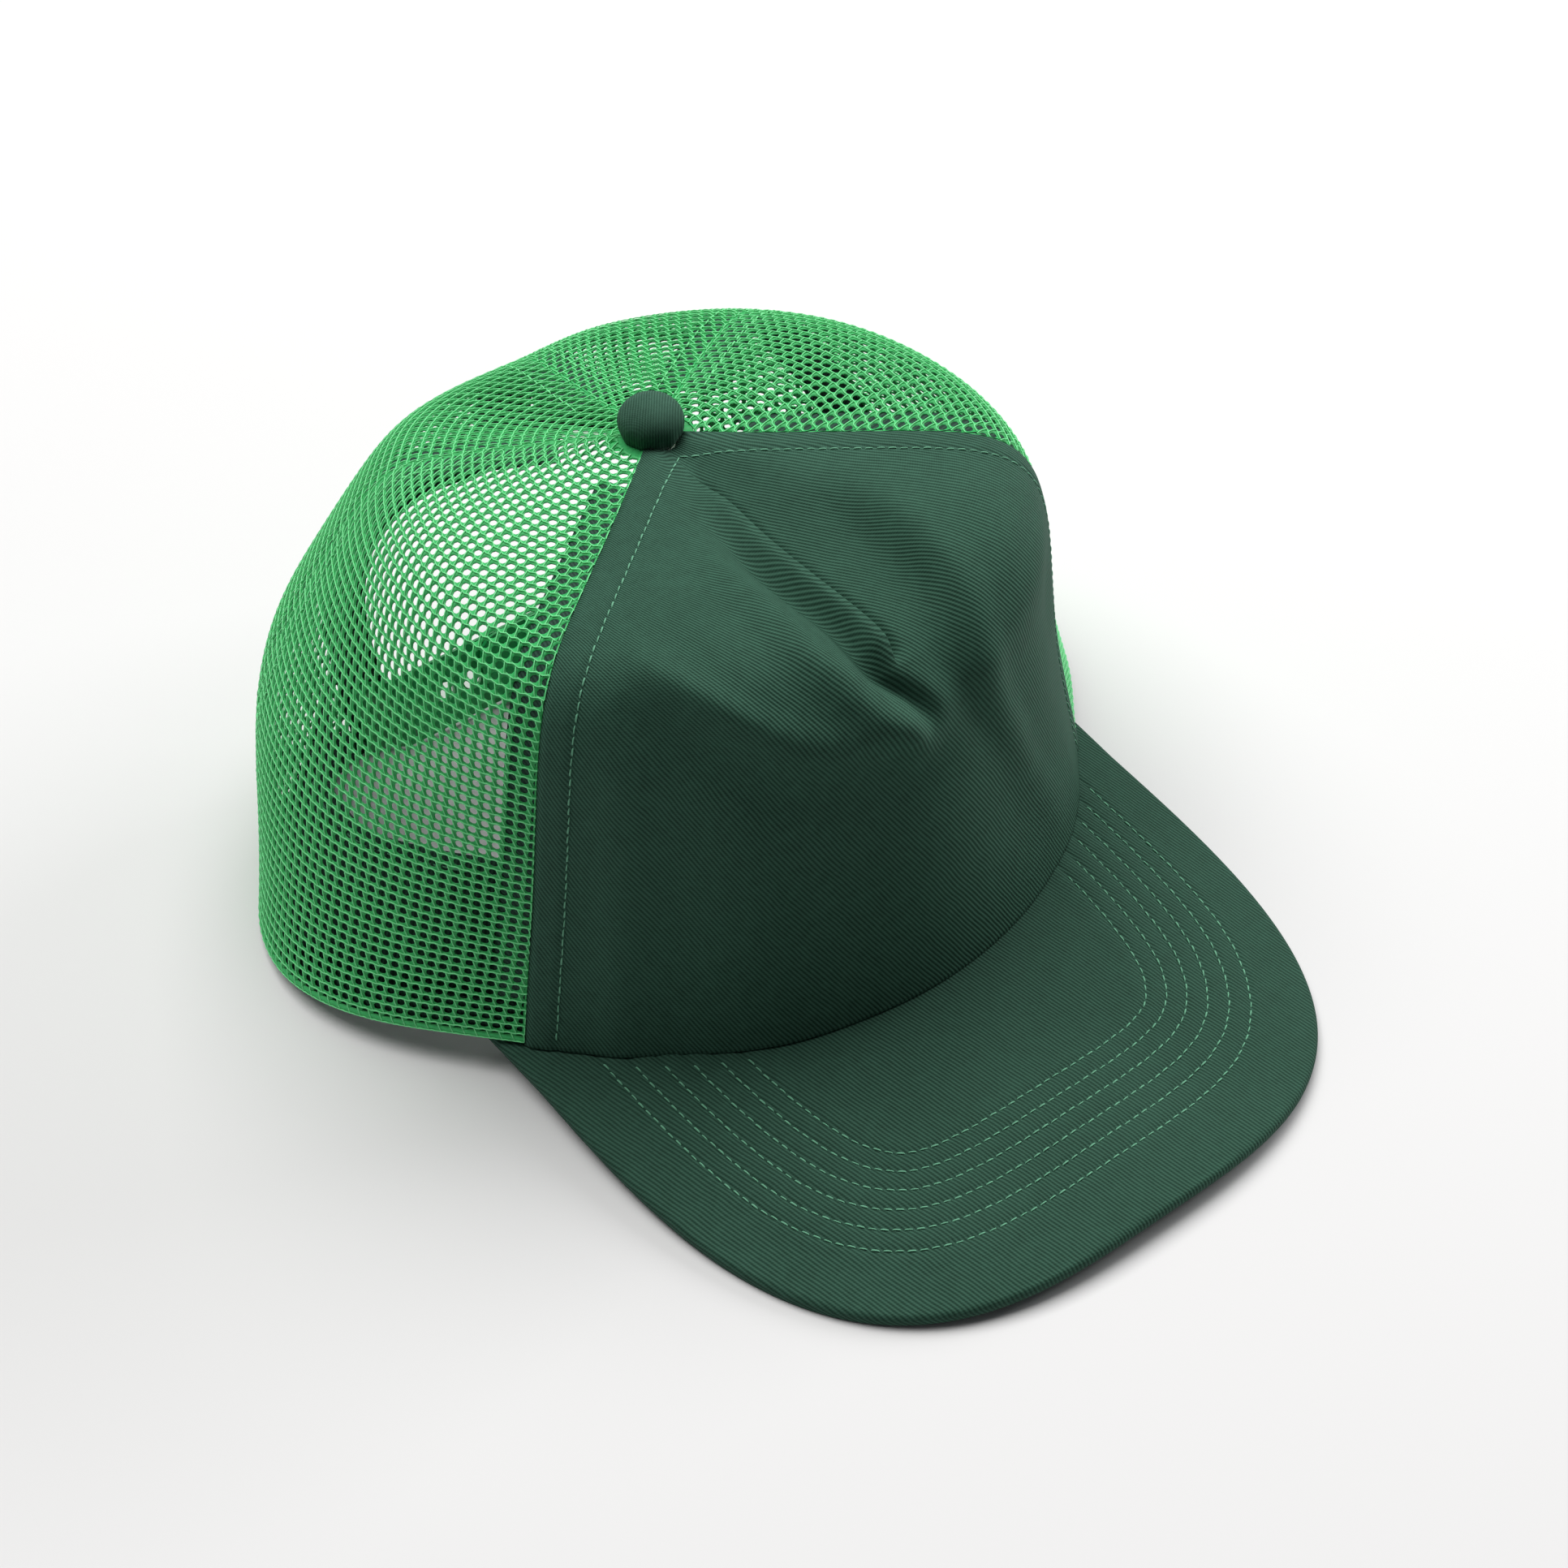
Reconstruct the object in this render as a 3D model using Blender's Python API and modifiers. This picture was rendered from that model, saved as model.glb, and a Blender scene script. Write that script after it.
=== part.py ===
"""Trucker mesh cap: five-panel crown, flat brim, cloth-covered button and a snap strap.

World frame in metres.  The origin is on the floor under the button.  +Z is up, the brim
points along -Y, the strap is at +Y and the wearer's right is -X.  Crown positions are given
by an angle theta, measured in degrees round the button from the front centre towards +X,
and by a height parameter t that runs from 0 at the rim to 1 at the button.
"""
from math import cos, degrees, pi, radians, sin

import bmesh
import bpy
from mathutils import Matrix, Vector

MM = 0.001

# Crown cross sections, in millimetres.  Each column is one angle round the button.
STATION_ANGLES = (0, 28, 55, 90, 125, 152, 180)
RIM_RADIUS = (106, 104.5, 103, 112, 85, 54, 46)
WAIST_RADIUS = (101, 97, 95, 100, 97, 84, 68)
SHOULDER_RADIUS = (95, 93, 88, 76, 69, 69, 60)
SHOULDER_HEIGHT = (100, 108, 107, 106, 102, 97, 100)
WAIST_HEIGHT = 45
CROWN_TOP = 106
SHOULDER_ROUND = 10
REAR_RIM_ANGLE = 120
RIM_DIP = -0.4
SPLINE_DEGREE = 3
TOP_T = 0.99
CROWN_ROWS = 24

# Seams between the panels: angle at the rim and angle at the button.
FRONT_SEAM = (54, 50)
SIDE_SEAM = (110, 126)
BACK_SEAM = (180, 180)
CLEARANCE = 0.3
CLOTH = 0.8
FRONT_COLUMNS = 24
MESH_COLUMNS = 16

# Linings inside the crown.
TAPE_WIDTH = 16
TAPE_THICKNESS = 0.5
LINING_GAP = 0.5
TAPE_DEPTH = CLOTH + LINING_GAP
TAPE_TOP_RADIUS = 21
HEM_HEIGHT = 9
HEM_THICKNESS = 0.9
HEM_END = 132
HEM_COLUMNS = 56
SWEATBAND_HEIGHT = 36
SWEATBAND_THICKNESS = 1.4
SWEATBAND_RAISE = 1.5
SWEATBAND_DEPTH = TAPE_DEPTH + HEM_THICKNESS + LINING_GAP
SWEATBAND_LEAN = 12
SWEATBAND_END = 128
SWEATBAND_COLUMNS = 48

# Opening at the back, over the strap.
OPENING_HALF_WIDTH = 45
OPENING_SPRING = 20
OPENING_HEIGHT = 57
OPENING_SHAPE = 2.4
OPENING_STEPS = 28
BINDING_WIDTH = 12
BINDING_THICKNESS = 0.6

# Brim.
BRIM_HALF_WIDTH = 86.5
BRIM_FRONT_Y = -181.5
BRIM_CORNER_Y = -70.5
BRIM_END_X = 87.3
BRIM_END_Y = -49.5
BRIM_END_ANGLE = 60
BRIM_SHAPE = 3.07
BRIM_THICKNESS = 2.8
BRIM_FRONT_RISE = 3.7
BRIM_REAR_RISE = 14.9
BRIM_ARCH = 1.146
BRIM_COVER = 0.45
BRIM_EDGE_ROUND = 1.2
BRIM_EDGE_DROP = 2.5
BRIM_SEAM_MARGIN = 8
BRIM_COLUMNS = 28
BRIM_ROWS = 4
BRIM_TO_CROWN = 1.3

# Button.
BUTTON_RADIUS = 7.2
BUTTON_HEIGHT = 8.4
BUTTON_CLOTH = 0.6
BUTTON_SKIRT = 0.28
BUTTON_TUCK = ((0.93, 0.35), (0.80, 0.0))
PRONG_RADIUS = 1.5
PRONG_REACH = 0.8
WASHER_RADIUS = 5.5
WASHER_THICKNESS = 1.0
ROUND_STEPS = 20
DOME_STEPS = 5

# Snap strap.
STRAP_HEIGHT = 18
STRAP_THICKNESS = 1.2
STRAP_LEAN = 22
STRAP_BASE_Y = 43.3
STRAP_BASE_Z = 2.0
STRAP_HINGE_X = 43
STRAP_TIP_X = 21
STRAP_TIP_ROUND = 6
STRAP_ANCHOR_X = 55
ANCHOR_ROWS = 3
ANCHOR_COLUMNS = 8
ANCHOR_STRAIGHT = 0.1
ANCHOR_BEND = 0.6
ANCHOR_GAP = 0.5
STRAP_PITCH = 8
BAR_SIDES = 16
STUD_RADIUS = 1.9
STUD_HEIGHT = 2.2
HOLE_RADIUS = 2.6
STUD_POSITIONS = (-16, -8, 0, 8, 16, 24, 32)

DARK_TWILL = ("twill_dark_green", (0.020, 0.060, 0.040), 0.85)
GREEN_MESH = ("mesh_kelly_green", (0.030, 0.300, 0.080), 0.55)
GREEN_PLASTIC = ("plastic_green", (0.020, 0.280, 0.090), 0.30)
BOARD_PLASTIC = ("plastic_white", (0.750, 0.750, 0.730), 0.50)
PLATED_STEEL = ("plated_steel", (0.550, 0.550, 0.550), 0.30)


def clear_scene():
    for item in list(bpy.data.objects):
        bpy.data.objects.remove(item, do_unlink=True)


def new_collection(name, hidden=False):
    group = bpy.data.collections.new(name)
    group.hide_render = hidden
    bpy.context.scene.collection.children.link(group)
    return group


def new_material(name, colour, roughness, metallic=0.0):
    material = bpy.data.materials.new(name)
    material.use_nodes = True
    shader = material.node_tree.nodes["Principled BSDF"]
    shader.inputs["Base Color"].default_value = (*colour, 1.0)
    shader.inputs["Roughness"].default_value = roughness
    shader.inputs["Metallic"].default_value = metallic
    return material


def add_mesh(name, bm, group, finish, smooth=True):
    mesh = bpy.data.meshes.new(name)
    bm.normal_update()
    bm.to_mesh(mesh)
    bm.free()
    for polygon in mesh.polygons:
        polygon.use_smooth = smooth
    item = bpy.data.objects.new(name, mesh)
    group.objects.link(item)
    if finish:
        metallic = 1.0 if finish is PLATED_STEEL else 0.0
        item.data.materials.append(new_material(name + "_finish", finish[1], finish[2], metallic))
    else:
        item.display_type = "WIRE"
        item.hide_render = True
    return item


def solidify(item, thickness):
    shell = item.modifiers.new("thickness", "SOLIDIFY")
    shell.thickness = thickness * MM
    shell.offset = -1.0
    shell.use_even_offset = True


def boolean(item, other, operation="DIFFERENCE"):
    cut = item.modifiers.new(other.name, "BOOLEAN")
    cut.operation = operation
    cut.solver = "EXACT"
    cut.object = other


def sheet(name, rows, thickness, group, finish):
    """Closed shell that follows a grid of points in millimetres, thickened inwards."""
    bm = bmesh.new()
    grid = [[bm.verts.new(Vector(point) * MM) for point in row] for row in rows]
    for lower, upper in zip(grid, grid[1:]):
        for k in range(len(lower) - 1):
            bm.faces.new((lower[k], lower[k + 1], upper[k + 1], upper[k]))
    item = add_mesh(name, bm, group, finish)
    solidify(item, thickness)
    return item


def prism(name, outline, depth, group, finish):
    """Flat outline in the local XY plane, extruded along local +Z, in millimetres."""
    bm = bmesh.new()
    base = bm.faces.new([bm.verts.new((x * MM, y * MM, 0.0)) for x, y in outline])
    raised = bmesh.ops.extrude_face_region(bm, geom=[base])
    moved = [part for part in raised["geom"] if isinstance(part, bmesh.types.BMVert)]
    bmesh.ops.translate(bm, verts=moved, vec=(0.0, 0.0, depth * MM))
    bmesh.ops.recalc_face_normals(bm, faces=bm.faces)
    return add_mesh(name, bm, group, finish, smooth=False)


def turned(name, profile, centre, group, finish, ring=False):
    """Profile of (radius, height) pairs in millimetres, turned about a vertical axis."""
    bm = bmesh.new()
    points = [bm.verts.new((radius * MM, 0.0, height * MM)) for radius, height in profile]
    for first, second in zip(points, points[1:]):
        bm.edges.new((first, second))
    if ring:
        bm.edges.new((points[-1], points[0]))
    item = add_mesh(name, bm, group, finish)
    item.location = Vector(centre) * MM
    screw = item.modifiers.new("turn", "SCREW")
    screw.axis = "Z"
    screw.steps = ROUND_STEPS
    screw.render_steps = ROUND_STEPS
    screw.use_merge_vertices = True
    screw.merge_threshold = 0.00005
    return item


def station(values, theta):
    """Smooth value round the crown, symmetric left to right."""
    angle = abs((theta + 180.0) % 360.0 - 180.0)
    last = len(STATION_ANGLES) - 1
    k = 0
    while k < last - 1 and angle > STATION_ANGLES[k + 1]:
        k += 1

    def slope(n):
        if n in (0, last):
            return 0.0
        span = STATION_ANGLES[n + 1] - STATION_ANGLES[n - 1]
        return (values[n + 1] - values[n - 1]) / span

    width = STATION_ANGLES[k + 1] - STATION_ANGLES[k]
    u = (angle - STATION_ANGLES[k]) / width
    start = (1 + 2 * u) * (1 - u) ** 2 * values[k] + u * (1 - u) ** 2 * width * slope(k)
    end = u * u * (3 - 2 * u) * values[k + 1] + u * u * (u - 1) * width * slope(k + 1)
    return start + end


def spline(controls, t):
    """Point of a clamped cubic B-spline."""
    spans = len(controls) - SPLINE_DEGREE
    knots = [0.0] * SPLINE_DEGREE + [k / spans for k in range(spans + 1)] + [1.0] * SPLINE_DEGREE
    k = min(int(t * spans), spans - 1) + SPLINE_DEGREE
    work = [list(controls[j + k - SPLINE_DEGREE]) for j in range(SPLINE_DEGREE + 1)]
    for level in range(1, SPLINE_DEGREE + 1):
        for j in range(SPLINE_DEGREE, level - 1, -1):
            low = knots[j + k - SPLINE_DEGREE]
            high = knots[j + 1 + k - level]
            share = (t - low) / (high - low)
            work[j] = [a + (b - a) * share for a, b in zip(work[j - 1], work[j])]
    return work[SPLINE_DEGREE]


def brim_underside(x, y):
    run = (y - BRIM_FRONT_Y) / (BRIM_END_Y - BRIM_FRONT_Y)
    rise = BRIM_FRONT_RISE + (BRIM_REAR_RISE - BRIM_FRONT_RISE) * run
    return rise - BRIM_ARCH * x * x * MM


def rim_height(theta):
    """Lower edge of the crown: it rides on the brim in front and meets the floor behind."""
    angle = min(abs((theta + 180.0) % 360.0 - 180.0), 180.0)
    held = radians(min(angle, BRIM_END_ANGLE))
    radius = station(RIM_RADIUS, degrees(held))
    x, y = radius * sin(held), -radius * cos(held)
    on_brim = brim_underside(x, y) + BRIM_THICKNESS + BRIM_TO_CROWN
    if angle <= BRIM_END_ANGLE:
        return on_brim
    u = min((angle - BRIM_END_ANGLE) / (REAR_RIM_ANGLE - BRIM_END_ANGLE), 1.0)
    return RIM_DIP + (on_brim - RIM_DIP) * (0.5 + 0.5 * cos(pi * u ** 0.75))


def crown_profile(theta, t):
    """Radius and height of the crown's outer face."""
    rim, low = station(RIM_RADIUS, theta), rim_height(theta)
    waist = station(WAIST_RADIUS, theta)
    shoulder, high = station(SHOULDER_RADIUS, theta), station(SHOULDER_HEIGHT, theta)
    controls = (
        (rim, low),
        ((rim + waist) / 2, (low + WAIST_HEIGHT) / 2),
        (waist, WAIST_HEIGHT),
        ((waist + shoulder) / 2, WAIST_HEIGHT + (high - WAIST_HEIGHT) * 0.42),
        (shoulder, high - 1.2 * SHOULDER_ROUND),
        (shoulder - SHOULDER_ROUND, high),
        (shoulder * 0.62, high + 0.5),
        (shoulder * 0.30, (high + CROWN_TOP) / 2),
        (0.0, CROWN_TOP),
    )
    return spline(controls, t)


def crown_point(theta, t, depth=0.0):
    """Point at a depth below the crown's outer face."""
    def face(angle, level):
        radius, height = crown_profile(angle, level)
        turn = radians(angle)
        return Vector((radius * sin(turn), -radius * cos(turn), height))

    point = face(theta, t)
    if not depth:
        return point
    step = 0.004
    across = face(theta + 0.5, t) - face(theta - 0.5, t)
    upward = face(theta, min(t + step, 1.0)) - face(theta, max(t - step, 0.0))
    return point - across.cross(upward).normalized() * depth


def level_at(theta, reached, low=0.0, high=1.0):
    """Height parameter where a rising test on (radius, height) first holds."""
    for _ in range(24):
        middle = (low + high) / 2
        if reached(*crown_profile(theta, middle)):
            high = middle
        else:
            low = middle
    return (low + high) / 2


def level_at_height(theta, height):
    return level_at(theta, lambda radius, z: z >= height, 0.0, 0.6)


def wall_point(x, z, depth):
    """Point of the rear wall that has the given x and z."""
    side = 1.0 if x >= 0.0 else -1.0
    low, high = 95.0, 180.0
    for _ in range(24):
        theta = (low + high) / 2
        radius = crown_profile(theta, level_at_height(theta, z))[0]
        if radius * sin(radians(theta)) > abs(x):
            low = theta
        else:
            high = theta
    theta = side * (low + high) / 2
    return crown_point(theta, level_at_height(theta, z), depth)


def seam_angle(seam, t):
    return seam[0] + (seam[1] - seam[0]) * t


def crown_levels():
    return [TOP_T * k / CROWN_ROWS for k in range(CROWN_ROWS + 1)]


def panel(name, first, second, columns, group, finish):
    """Crown panel between two seams, each a (side, seam) pair."""
    rows = []
    for t in crown_levels():
        start = first[0] * seam_angle(first[1], t)
        end = second[0] * seam_angle(second[1], t)
        if end < start:
            end += 360.0
        margin = degrees(0.5 * CLEARANCE / crown_profile(start, t)[0])
        start, end = start + margin, end - margin
        rows.append([crown_point(start + (end - start) * k / columns, t) for k in range(columns + 1)])
    return sheet(name, rows, CLOTH, group, finish)


def seam_tape(name, side, seam, lowest, group):
    """Tape that covers a seam from inside, from the hem to near the button."""
    theta_top = side * seam_angle(seam, 0.9)
    top = level_at(theta_top, lambda radius, z: radius <= TAPE_TOP_RADIUS)
    foot = level_at_height(side * seam[0], lowest)
    levels = [foot] + [t for t in crown_levels() if foot + 0.01 < t < top - 0.01] + [top]
    rows = []
    for t in levels:
        middle = side * seam_angle(seam, t)
        half = degrees(0.5 * TAPE_WIDTH / crown_profile(middle, t)[0])
        rows.append([crown_point(middle + half * k, t, TAPE_DEPTH) for k in (-1, 0, 1)])
    return sheet(name, rows, TAPE_THICKNESS, group, DARK_TWILL)


def hem(group, floor_block):
    """Folded hem tape inside the rim; its ends stand flat on the floor."""
    rows = []
    for step in (0.0, 0.5, 1.0):
        row = []
        for k in range(HEM_COLUMNS + 1):
            theta = HEM_END * (2 * k / HEM_COLUMNS - 1)
            low = rim_height(theta)
            t = level_at_height(theta, low + max(step * HEM_HEIGHT, 0.01))
            row.append(crown_point(theta, t, TAPE_DEPTH))
        rows.append(row)
    item = sheet("hem_tape", rows, HEM_THICKNESS, group, DARK_TWILL)
    boolean(item, floor_block)
    return item


def sweatband(group):
    """Band inside the rim, whose upper edge leans in towards the head."""
    rows = []
    for step in (0.0, 0.25, 0.5, 0.75, 1.0):
        row = []
        for k in range(SWEATBAND_COLUMNS + 1):
            theta = SWEATBAND_END * (2 * k / SWEATBAND_COLUMNS - 1)
            low = rim_height(theta)
            t = level_at_height(theta, low + SWEATBAND_RAISE + step * SWEATBAND_HEIGHT)
            depth = SWEATBAND_DEPTH + SWEATBAND_LEAN * step ** 1.3
            row.append(crown_point(theta, t, depth))
        rows.append(row)
    return sheet("sweatband", rows, SWEATBAND_THICKNESS, group, DARK_TWILL)


def opening_outline(offset):
    """Arch of the rear opening as (x, z) pairs, offset outwards, from right foot to left."""
    width = OPENING_HALF_WIDTH + offset
    rise = OPENING_HEIGHT - OPENING_SPRING + offset
    points = [(-width, 0.5), (-width, 0.5 * OPENING_SPRING)]
    for k in range(OPENING_STEPS + 1):
        turn = pi * (1.0 - k / OPENING_STEPS)
        c, s = cos(turn), sin(turn)
        x = width * abs(c) ** (2 / OPENING_SHAPE) * (1 if c >= 0 else -1)
        points.append((x, OPENING_SPRING + rise * abs(s) ** (2 / OPENING_SHAPE)))
    points += [(width, 0.5 * OPENING_SPRING), (width, 0.5)]
    return points


def opening_cutter(group):
    profile = [(x, z if z > 1.0 else -10.0) for x, z in opening_outline(0.0)]
    item = prism("opening_cutter", profile, 80, group, None)
    item.matrix_world = Matrix(((1, 0, 0, 0), (0, 0, 1, 0.02), (0, 1, 0, 0), (0, 0, 0, 1)))
    return item


def opening_binding(group):
    """Tape that finishes the edge of the rear opening, inside the mesh."""
    rows = []
    for share in (1.0, 0.5, 0.0):
        outline = opening_outline(CLEARANCE + share * BINDING_WIDTH)
        rows.append([wall_point(x, z, TAPE_DEPTH) for x, z in reversed(outline)])
    return sheet("opening_binding", rows[::-1], BINDING_THICKNESS, group, DARK_TWILL)


def brim_outline(inset):
    """Outer edge of the brim from the wearer's right to the left, as (x, y) pairs."""
    points = []
    steps = BRIM_COLUMNS - 4
    for k in range(4):
        share = k / 4
        x = BRIM_END_X + (BRIM_HALF_WIDTH - BRIM_END_X) * share
        points.append((-x, BRIM_END_Y + (BRIM_CORNER_Y - BRIM_END_Y) * share))
    for k in range(steps // 2 + 1):
        turn = 0.5 * pi * k / (steps // 2)
        x = BRIM_HALF_WIDTH * cos(turn) ** (2 / BRIM_SHAPE) if k < steps // 2 else 0.0
        y = BRIM_CORNER_Y + (BRIM_FRONT_Y - BRIM_CORNER_Y) * sin(turn) ** (2 / BRIM_SHAPE)
        points.append((-x, y))
    points += [(-x, y) for x, y in points[-2::-1]]
    inner = []
    for k, (x, y) in enumerate(points):
        before, after = points[max(k - 1, 0)], points[min(k + 1, len(points) - 1)]
        along = Vector((after[0] - before[0], after[1] - before[1])).normalized()
        inner.append((x - along.y * inset, y + along.x * inset))
    return inner


def brim_rows(inset, lift, count=BRIM_ROWS):
    """Rows of the brim from the crown seam to its outer edge, at a lift over the underside."""
    outer = brim_outline(inset)
    last = len(outer) - 1
    rows = []
    for step in range(count + 1):
        row = []
        for k, (x, y) in enumerate(outer):
            theta = BRIM_END_ANGLE * (2 * k / last - 1)
            radius = station(RIM_RADIUS, theta) - BRIM_SEAM_MARGIN
            turn = radians(theta)
            seam_x, seam_y = radius * sin(turn), -radius * cos(turn)
            px = seam_x + (x - seam_x) * step / count
            py = seam_y + (y - seam_y) * step / count
            row.append((px, py, brim_underside(px, py) + lift))
        rows.append(row)
    return rows


def brim(group):
    """Stiff board between an upper and a lower cloth cover."""
    top = brim_rows(BRIM_EDGE_ROUND, BRIM_THICKNESS)
    edge = ((0.3 * BRIM_EDGE_ROUND, 0.3 * BRIM_EDGE_ROUND), (0.0, BRIM_EDGE_ROUND), (0.0, BRIM_EDGE_DROP))
    for inset, drop in edge:
        outline = brim_outline(inset)
        level = BRIM_THICKNESS - drop
        top.append([(x, y, brim_underside(x, y) + level) for x, y in outline])
    sheet("brim_top_cover", top[::-1], BRIM_COVER, group, DARK_TWILL)
    lower_inset = BRIM_COVER + CLEARANCE
    lower = brim_rows(lower_inset, BRIM_COVER)
    sheet("brim_under_cover", lower[::-1], BRIM_COVER, group, DARK_TWILL)
    board_top = BRIM_THICKNESS - BRIM_COVER - CLEARANCE
    board = brim_rows(BRIM_EDGE_ROUND + 2 * CLEARANCE, board_top)
    thickness = board_top - BRIM_COVER - CLEARANCE
    sheet("brim_board", board[::-1], thickness, group, BOARD_PLASTIC)


def button(group):
    """Cloth-covered dome, its metal shell, the prong through the crown and the washer inside."""
    reach = [k * 15.0 for k in range(24)]
    seat = []
    under = []
    for theta in reach:
        outer = level_at(theta, lambda radius, z: radius <= BUTTON_RADIUS + 0.5)
        inner = level_at(theta, lambda radius, z: radius <= WASHER_RADIUS + 0.5)
        seat += [crown_profile(theta, outer)[1], crown_profile(theta, TOP_T)[1]]
        under += [crown_profile(theta, inner)[1], crown_profile(theta, TOP_T)[1]]
    base = max(seat) + CLEARANCE
    centre = (0.0, 0.0, base)
    lower = BUTTON_SKIRT * BUTTON_HEIGHT

    def dome(radius, height, foot):
        points = [(0.0, height)]
        for k in range(1, DOME_STEPS + 1):
            turn = 0.5 * pi * (1.0 - k / DOME_STEPS)
            points.append((radius * cos(turn), lower + (height - lower) * sin(turn)))
        points += [(radius * width, foot + rise * (lower - foot)) for width, rise in BUTTON_TUCK]
        return points

    outer = dome(BUTTON_RADIUS, BUTTON_HEIGHT, 0.0)
    inner = dome(BUTTON_RADIUS - BUTTON_CLOTH, BUTTON_HEIGHT - BUTTON_CLOTH, 0.0)
    turned("button_cover", outer + inner[::-1], centre, group, DARK_TWILL)
    skin = BUTTON_CLOTH + CLEARANCE
    core = dome(BUTTON_RADIUS - skin, BUTTON_HEIGHT - skin, 0.2)
    turned("button_core", core + [(0.0, 0.2)], centre, group, PLATED_STEEL)
    floor = min(under) - CLOTH - CLEARANCE - base
    end = floor - WASHER_THICKNESS - PRONG_REACH
    prong = [(0.0, -0.1), (PRONG_RADIUS, -0.1), (PRONG_RADIUS, end), (0.0, end)]
    turned("button_prong", prong, centre, group, PLATED_STEEL)
    bore = PRONG_RADIUS + CLEARANCE
    ring = [(bore, floor), (WASHER_RADIUS, floor)]
    ring += [(WASHER_RADIUS, floor - WASHER_THICKNESS), (bore, floor - WASHER_THICKNESS)]
    turned("button_washer", ring, centre, group, PLATED_STEEL, ring=True)


def strap_matrix(x, out):
    """Local X runs along the strap, local Y up it, and local Z out of the cap."""
    lean = radians(STRAP_LEAN)
    up = Vector((0.0, sin(lean), cos(lean)))
    outward = Vector((0.0, cos(lean), -sin(lean)))
    along = up.cross(outward)
    place = Vector((x, STRAP_BASE_Y, STRAP_BASE_Z)) + outward * out
    frame = Matrix((along, up, outward)).transposed().to_4x4()
    frame.translation = place * MM
    return frame


def circle(x, y, radius):
    turns = [2 * pi * k / BAR_SIDES for k in range(BAR_SIDES)]
    return [(x + radius * cos(turn), y + radius * sin(turn)) for turn in turns]


def punched_plate(name, outline, circles, thickness, raised, group, finish):
    """Flat plate along local +Z with round holes, or with round studs if raised is given."""
    bm = bmesh.new()
    edges = []
    loops = []
    for loop in [outline] + circles:
        verts = [bm.verts.new((x * MM, y * MM, 0.0)) for x, y in loop]
        edges += [bm.edges.new((a, b)) for a, b in zip(verts, verts[1:] + verts[:1])]
        loops.append(verts)
    bmesh.ops.triangle_fill(bm, use_beauty=True, edges=edges)
    if raised:
        for verts in loops[1:]:
            bm.faces.new(verts)
    lift(bm, list(bm.faces), thickness)
    if raised:
        tops = [face for face in bm.faces if len(face.verts) == BAR_SIDES and face.calc_center_median().z > 0]
        lift(bm, tops, raised)
        bmesh.ops.delete(bm, geom=tops, context="FACES_ONLY")
    bmesh.ops.recalc_face_normals(bm, faces=bm.faces)
    return add_mesh(name, bm, group, finish, smooth=False)


def lift(bm, faces, distance):
    raised = bmesh.ops.extrude_face_region(bm, geom=faces)
    moved = [part for part in raised["geom"] if isinstance(part, bmesh.types.BMVert)]
    bmesh.ops.translate(bm, verts=moved, vec=(0.0, 0.0, distance * MM))


def strap_flap(name, side, out, radius, raised, group):
    """Free end of the strap, from its hinge line to its rounded tip."""
    length = STRAP_HINGE_X + STRAP_TIP_X - CLEARANCE
    r = STRAP_TIP_ROUND
    outline = [(CLEARANCE, 0.0)]
    corners = ((r, -0.5 * pi), (STRAP_HEIGHT - r, 0.0))
    for height, first in corners:
        for k in range(7):
            turn = first + 0.5 * pi * k / 6
            outline.append((length - r + r * cos(turn), height + r * sin(turn)))
    outline.append((CLEARANCE, STRAP_HEIGHT))
    outline = [(side * x, y) for x, y in outline]
    middle = 0.5 * STRAP_HEIGHT
    circles = [circle(side * (STRAP_HINGE_X - x), middle, radius) for x in STUD_POSITIONS]
    item = punched_plate(name, outline, circles, STRAP_THICKNESS, raised, group, GREEN_PLASTIC)
    item.matrix_world = strap_matrix(side * STRAP_HINGE_X, out)
    return item


def strap(group):
    """Two halves: holes outside, studs inside, each sewn to the cap at its anchor."""
    outer_gap = STRAP_THICKNESS + CLEARANCE
    strap_flap("strap_stud_flap", 1, 0.0, STUD_RADIUS, STUD_HEIGHT, group)
    strap_flap("strap_hole_flap", -1, outer_gap, HOLE_RADIUS, 0.0, group)
    strap_anchor("strap_anchor_left", 1, 0.0, group)
    strap_anchor("strap_anchor_right", -1, outer_gap, group)


def strap_anchor(name, side, out, group):
    """Sewn end of a strap half, bent to lie against the inside of the rear wall."""
    lean = radians(STRAP_LEAN)
    rows = []
    depth = TAPE_DEPTH + BINDING_THICKNESS + ANCHOR_GAP
    reach = out + STRAP_THICKNESS
    for step in range(ANCHOR_ROWS + 1):
        row = []
        up = STRAP_HEIGHT * step / ANCHOR_ROWS
        y = STRAP_BASE_Y + up * sin(lean) + reach * cos(lean)
        z = STRAP_BASE_Z + up * cos(lean) - reach * sin(lean)
        for k in range(ANCHOR_COLUMNS + 1):
            along = k / ANCHOR_COLUMNS
            x = STRAP_HINGE_X + (STRAP_ANCHOR_X - STRAP_HINGE_X) * along
            wall = wall_point(x, z, depth)
            share = min(max((along - ANCHOR_STRAIGHT) / ANCHOR_BEND, 0.0), 1.0)
            share = share * share * (3 - 2 * share)
            row.append((side * x, y + (wall.y - y) * share, z))
        rows.append(row if side < 0 else row[::-1])
    return sheet(name, rows, STRAP_THICKNESS, group, GREEN_PLASTIC)


def box_block(name, low, high, group):
    bm = bmesh.new()
    bmesh.ops.create_cube(bm, size=1.0)
    for vert in bm.verts:
        for axis in range(3):
            share = vert.co[axis] + 0.5
            vert.co[axis] = (low[axis] + (high[axis] - low[axis]) * share) * MM
    return add_mesh(name, bm, group, None, smooth=False)


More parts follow.
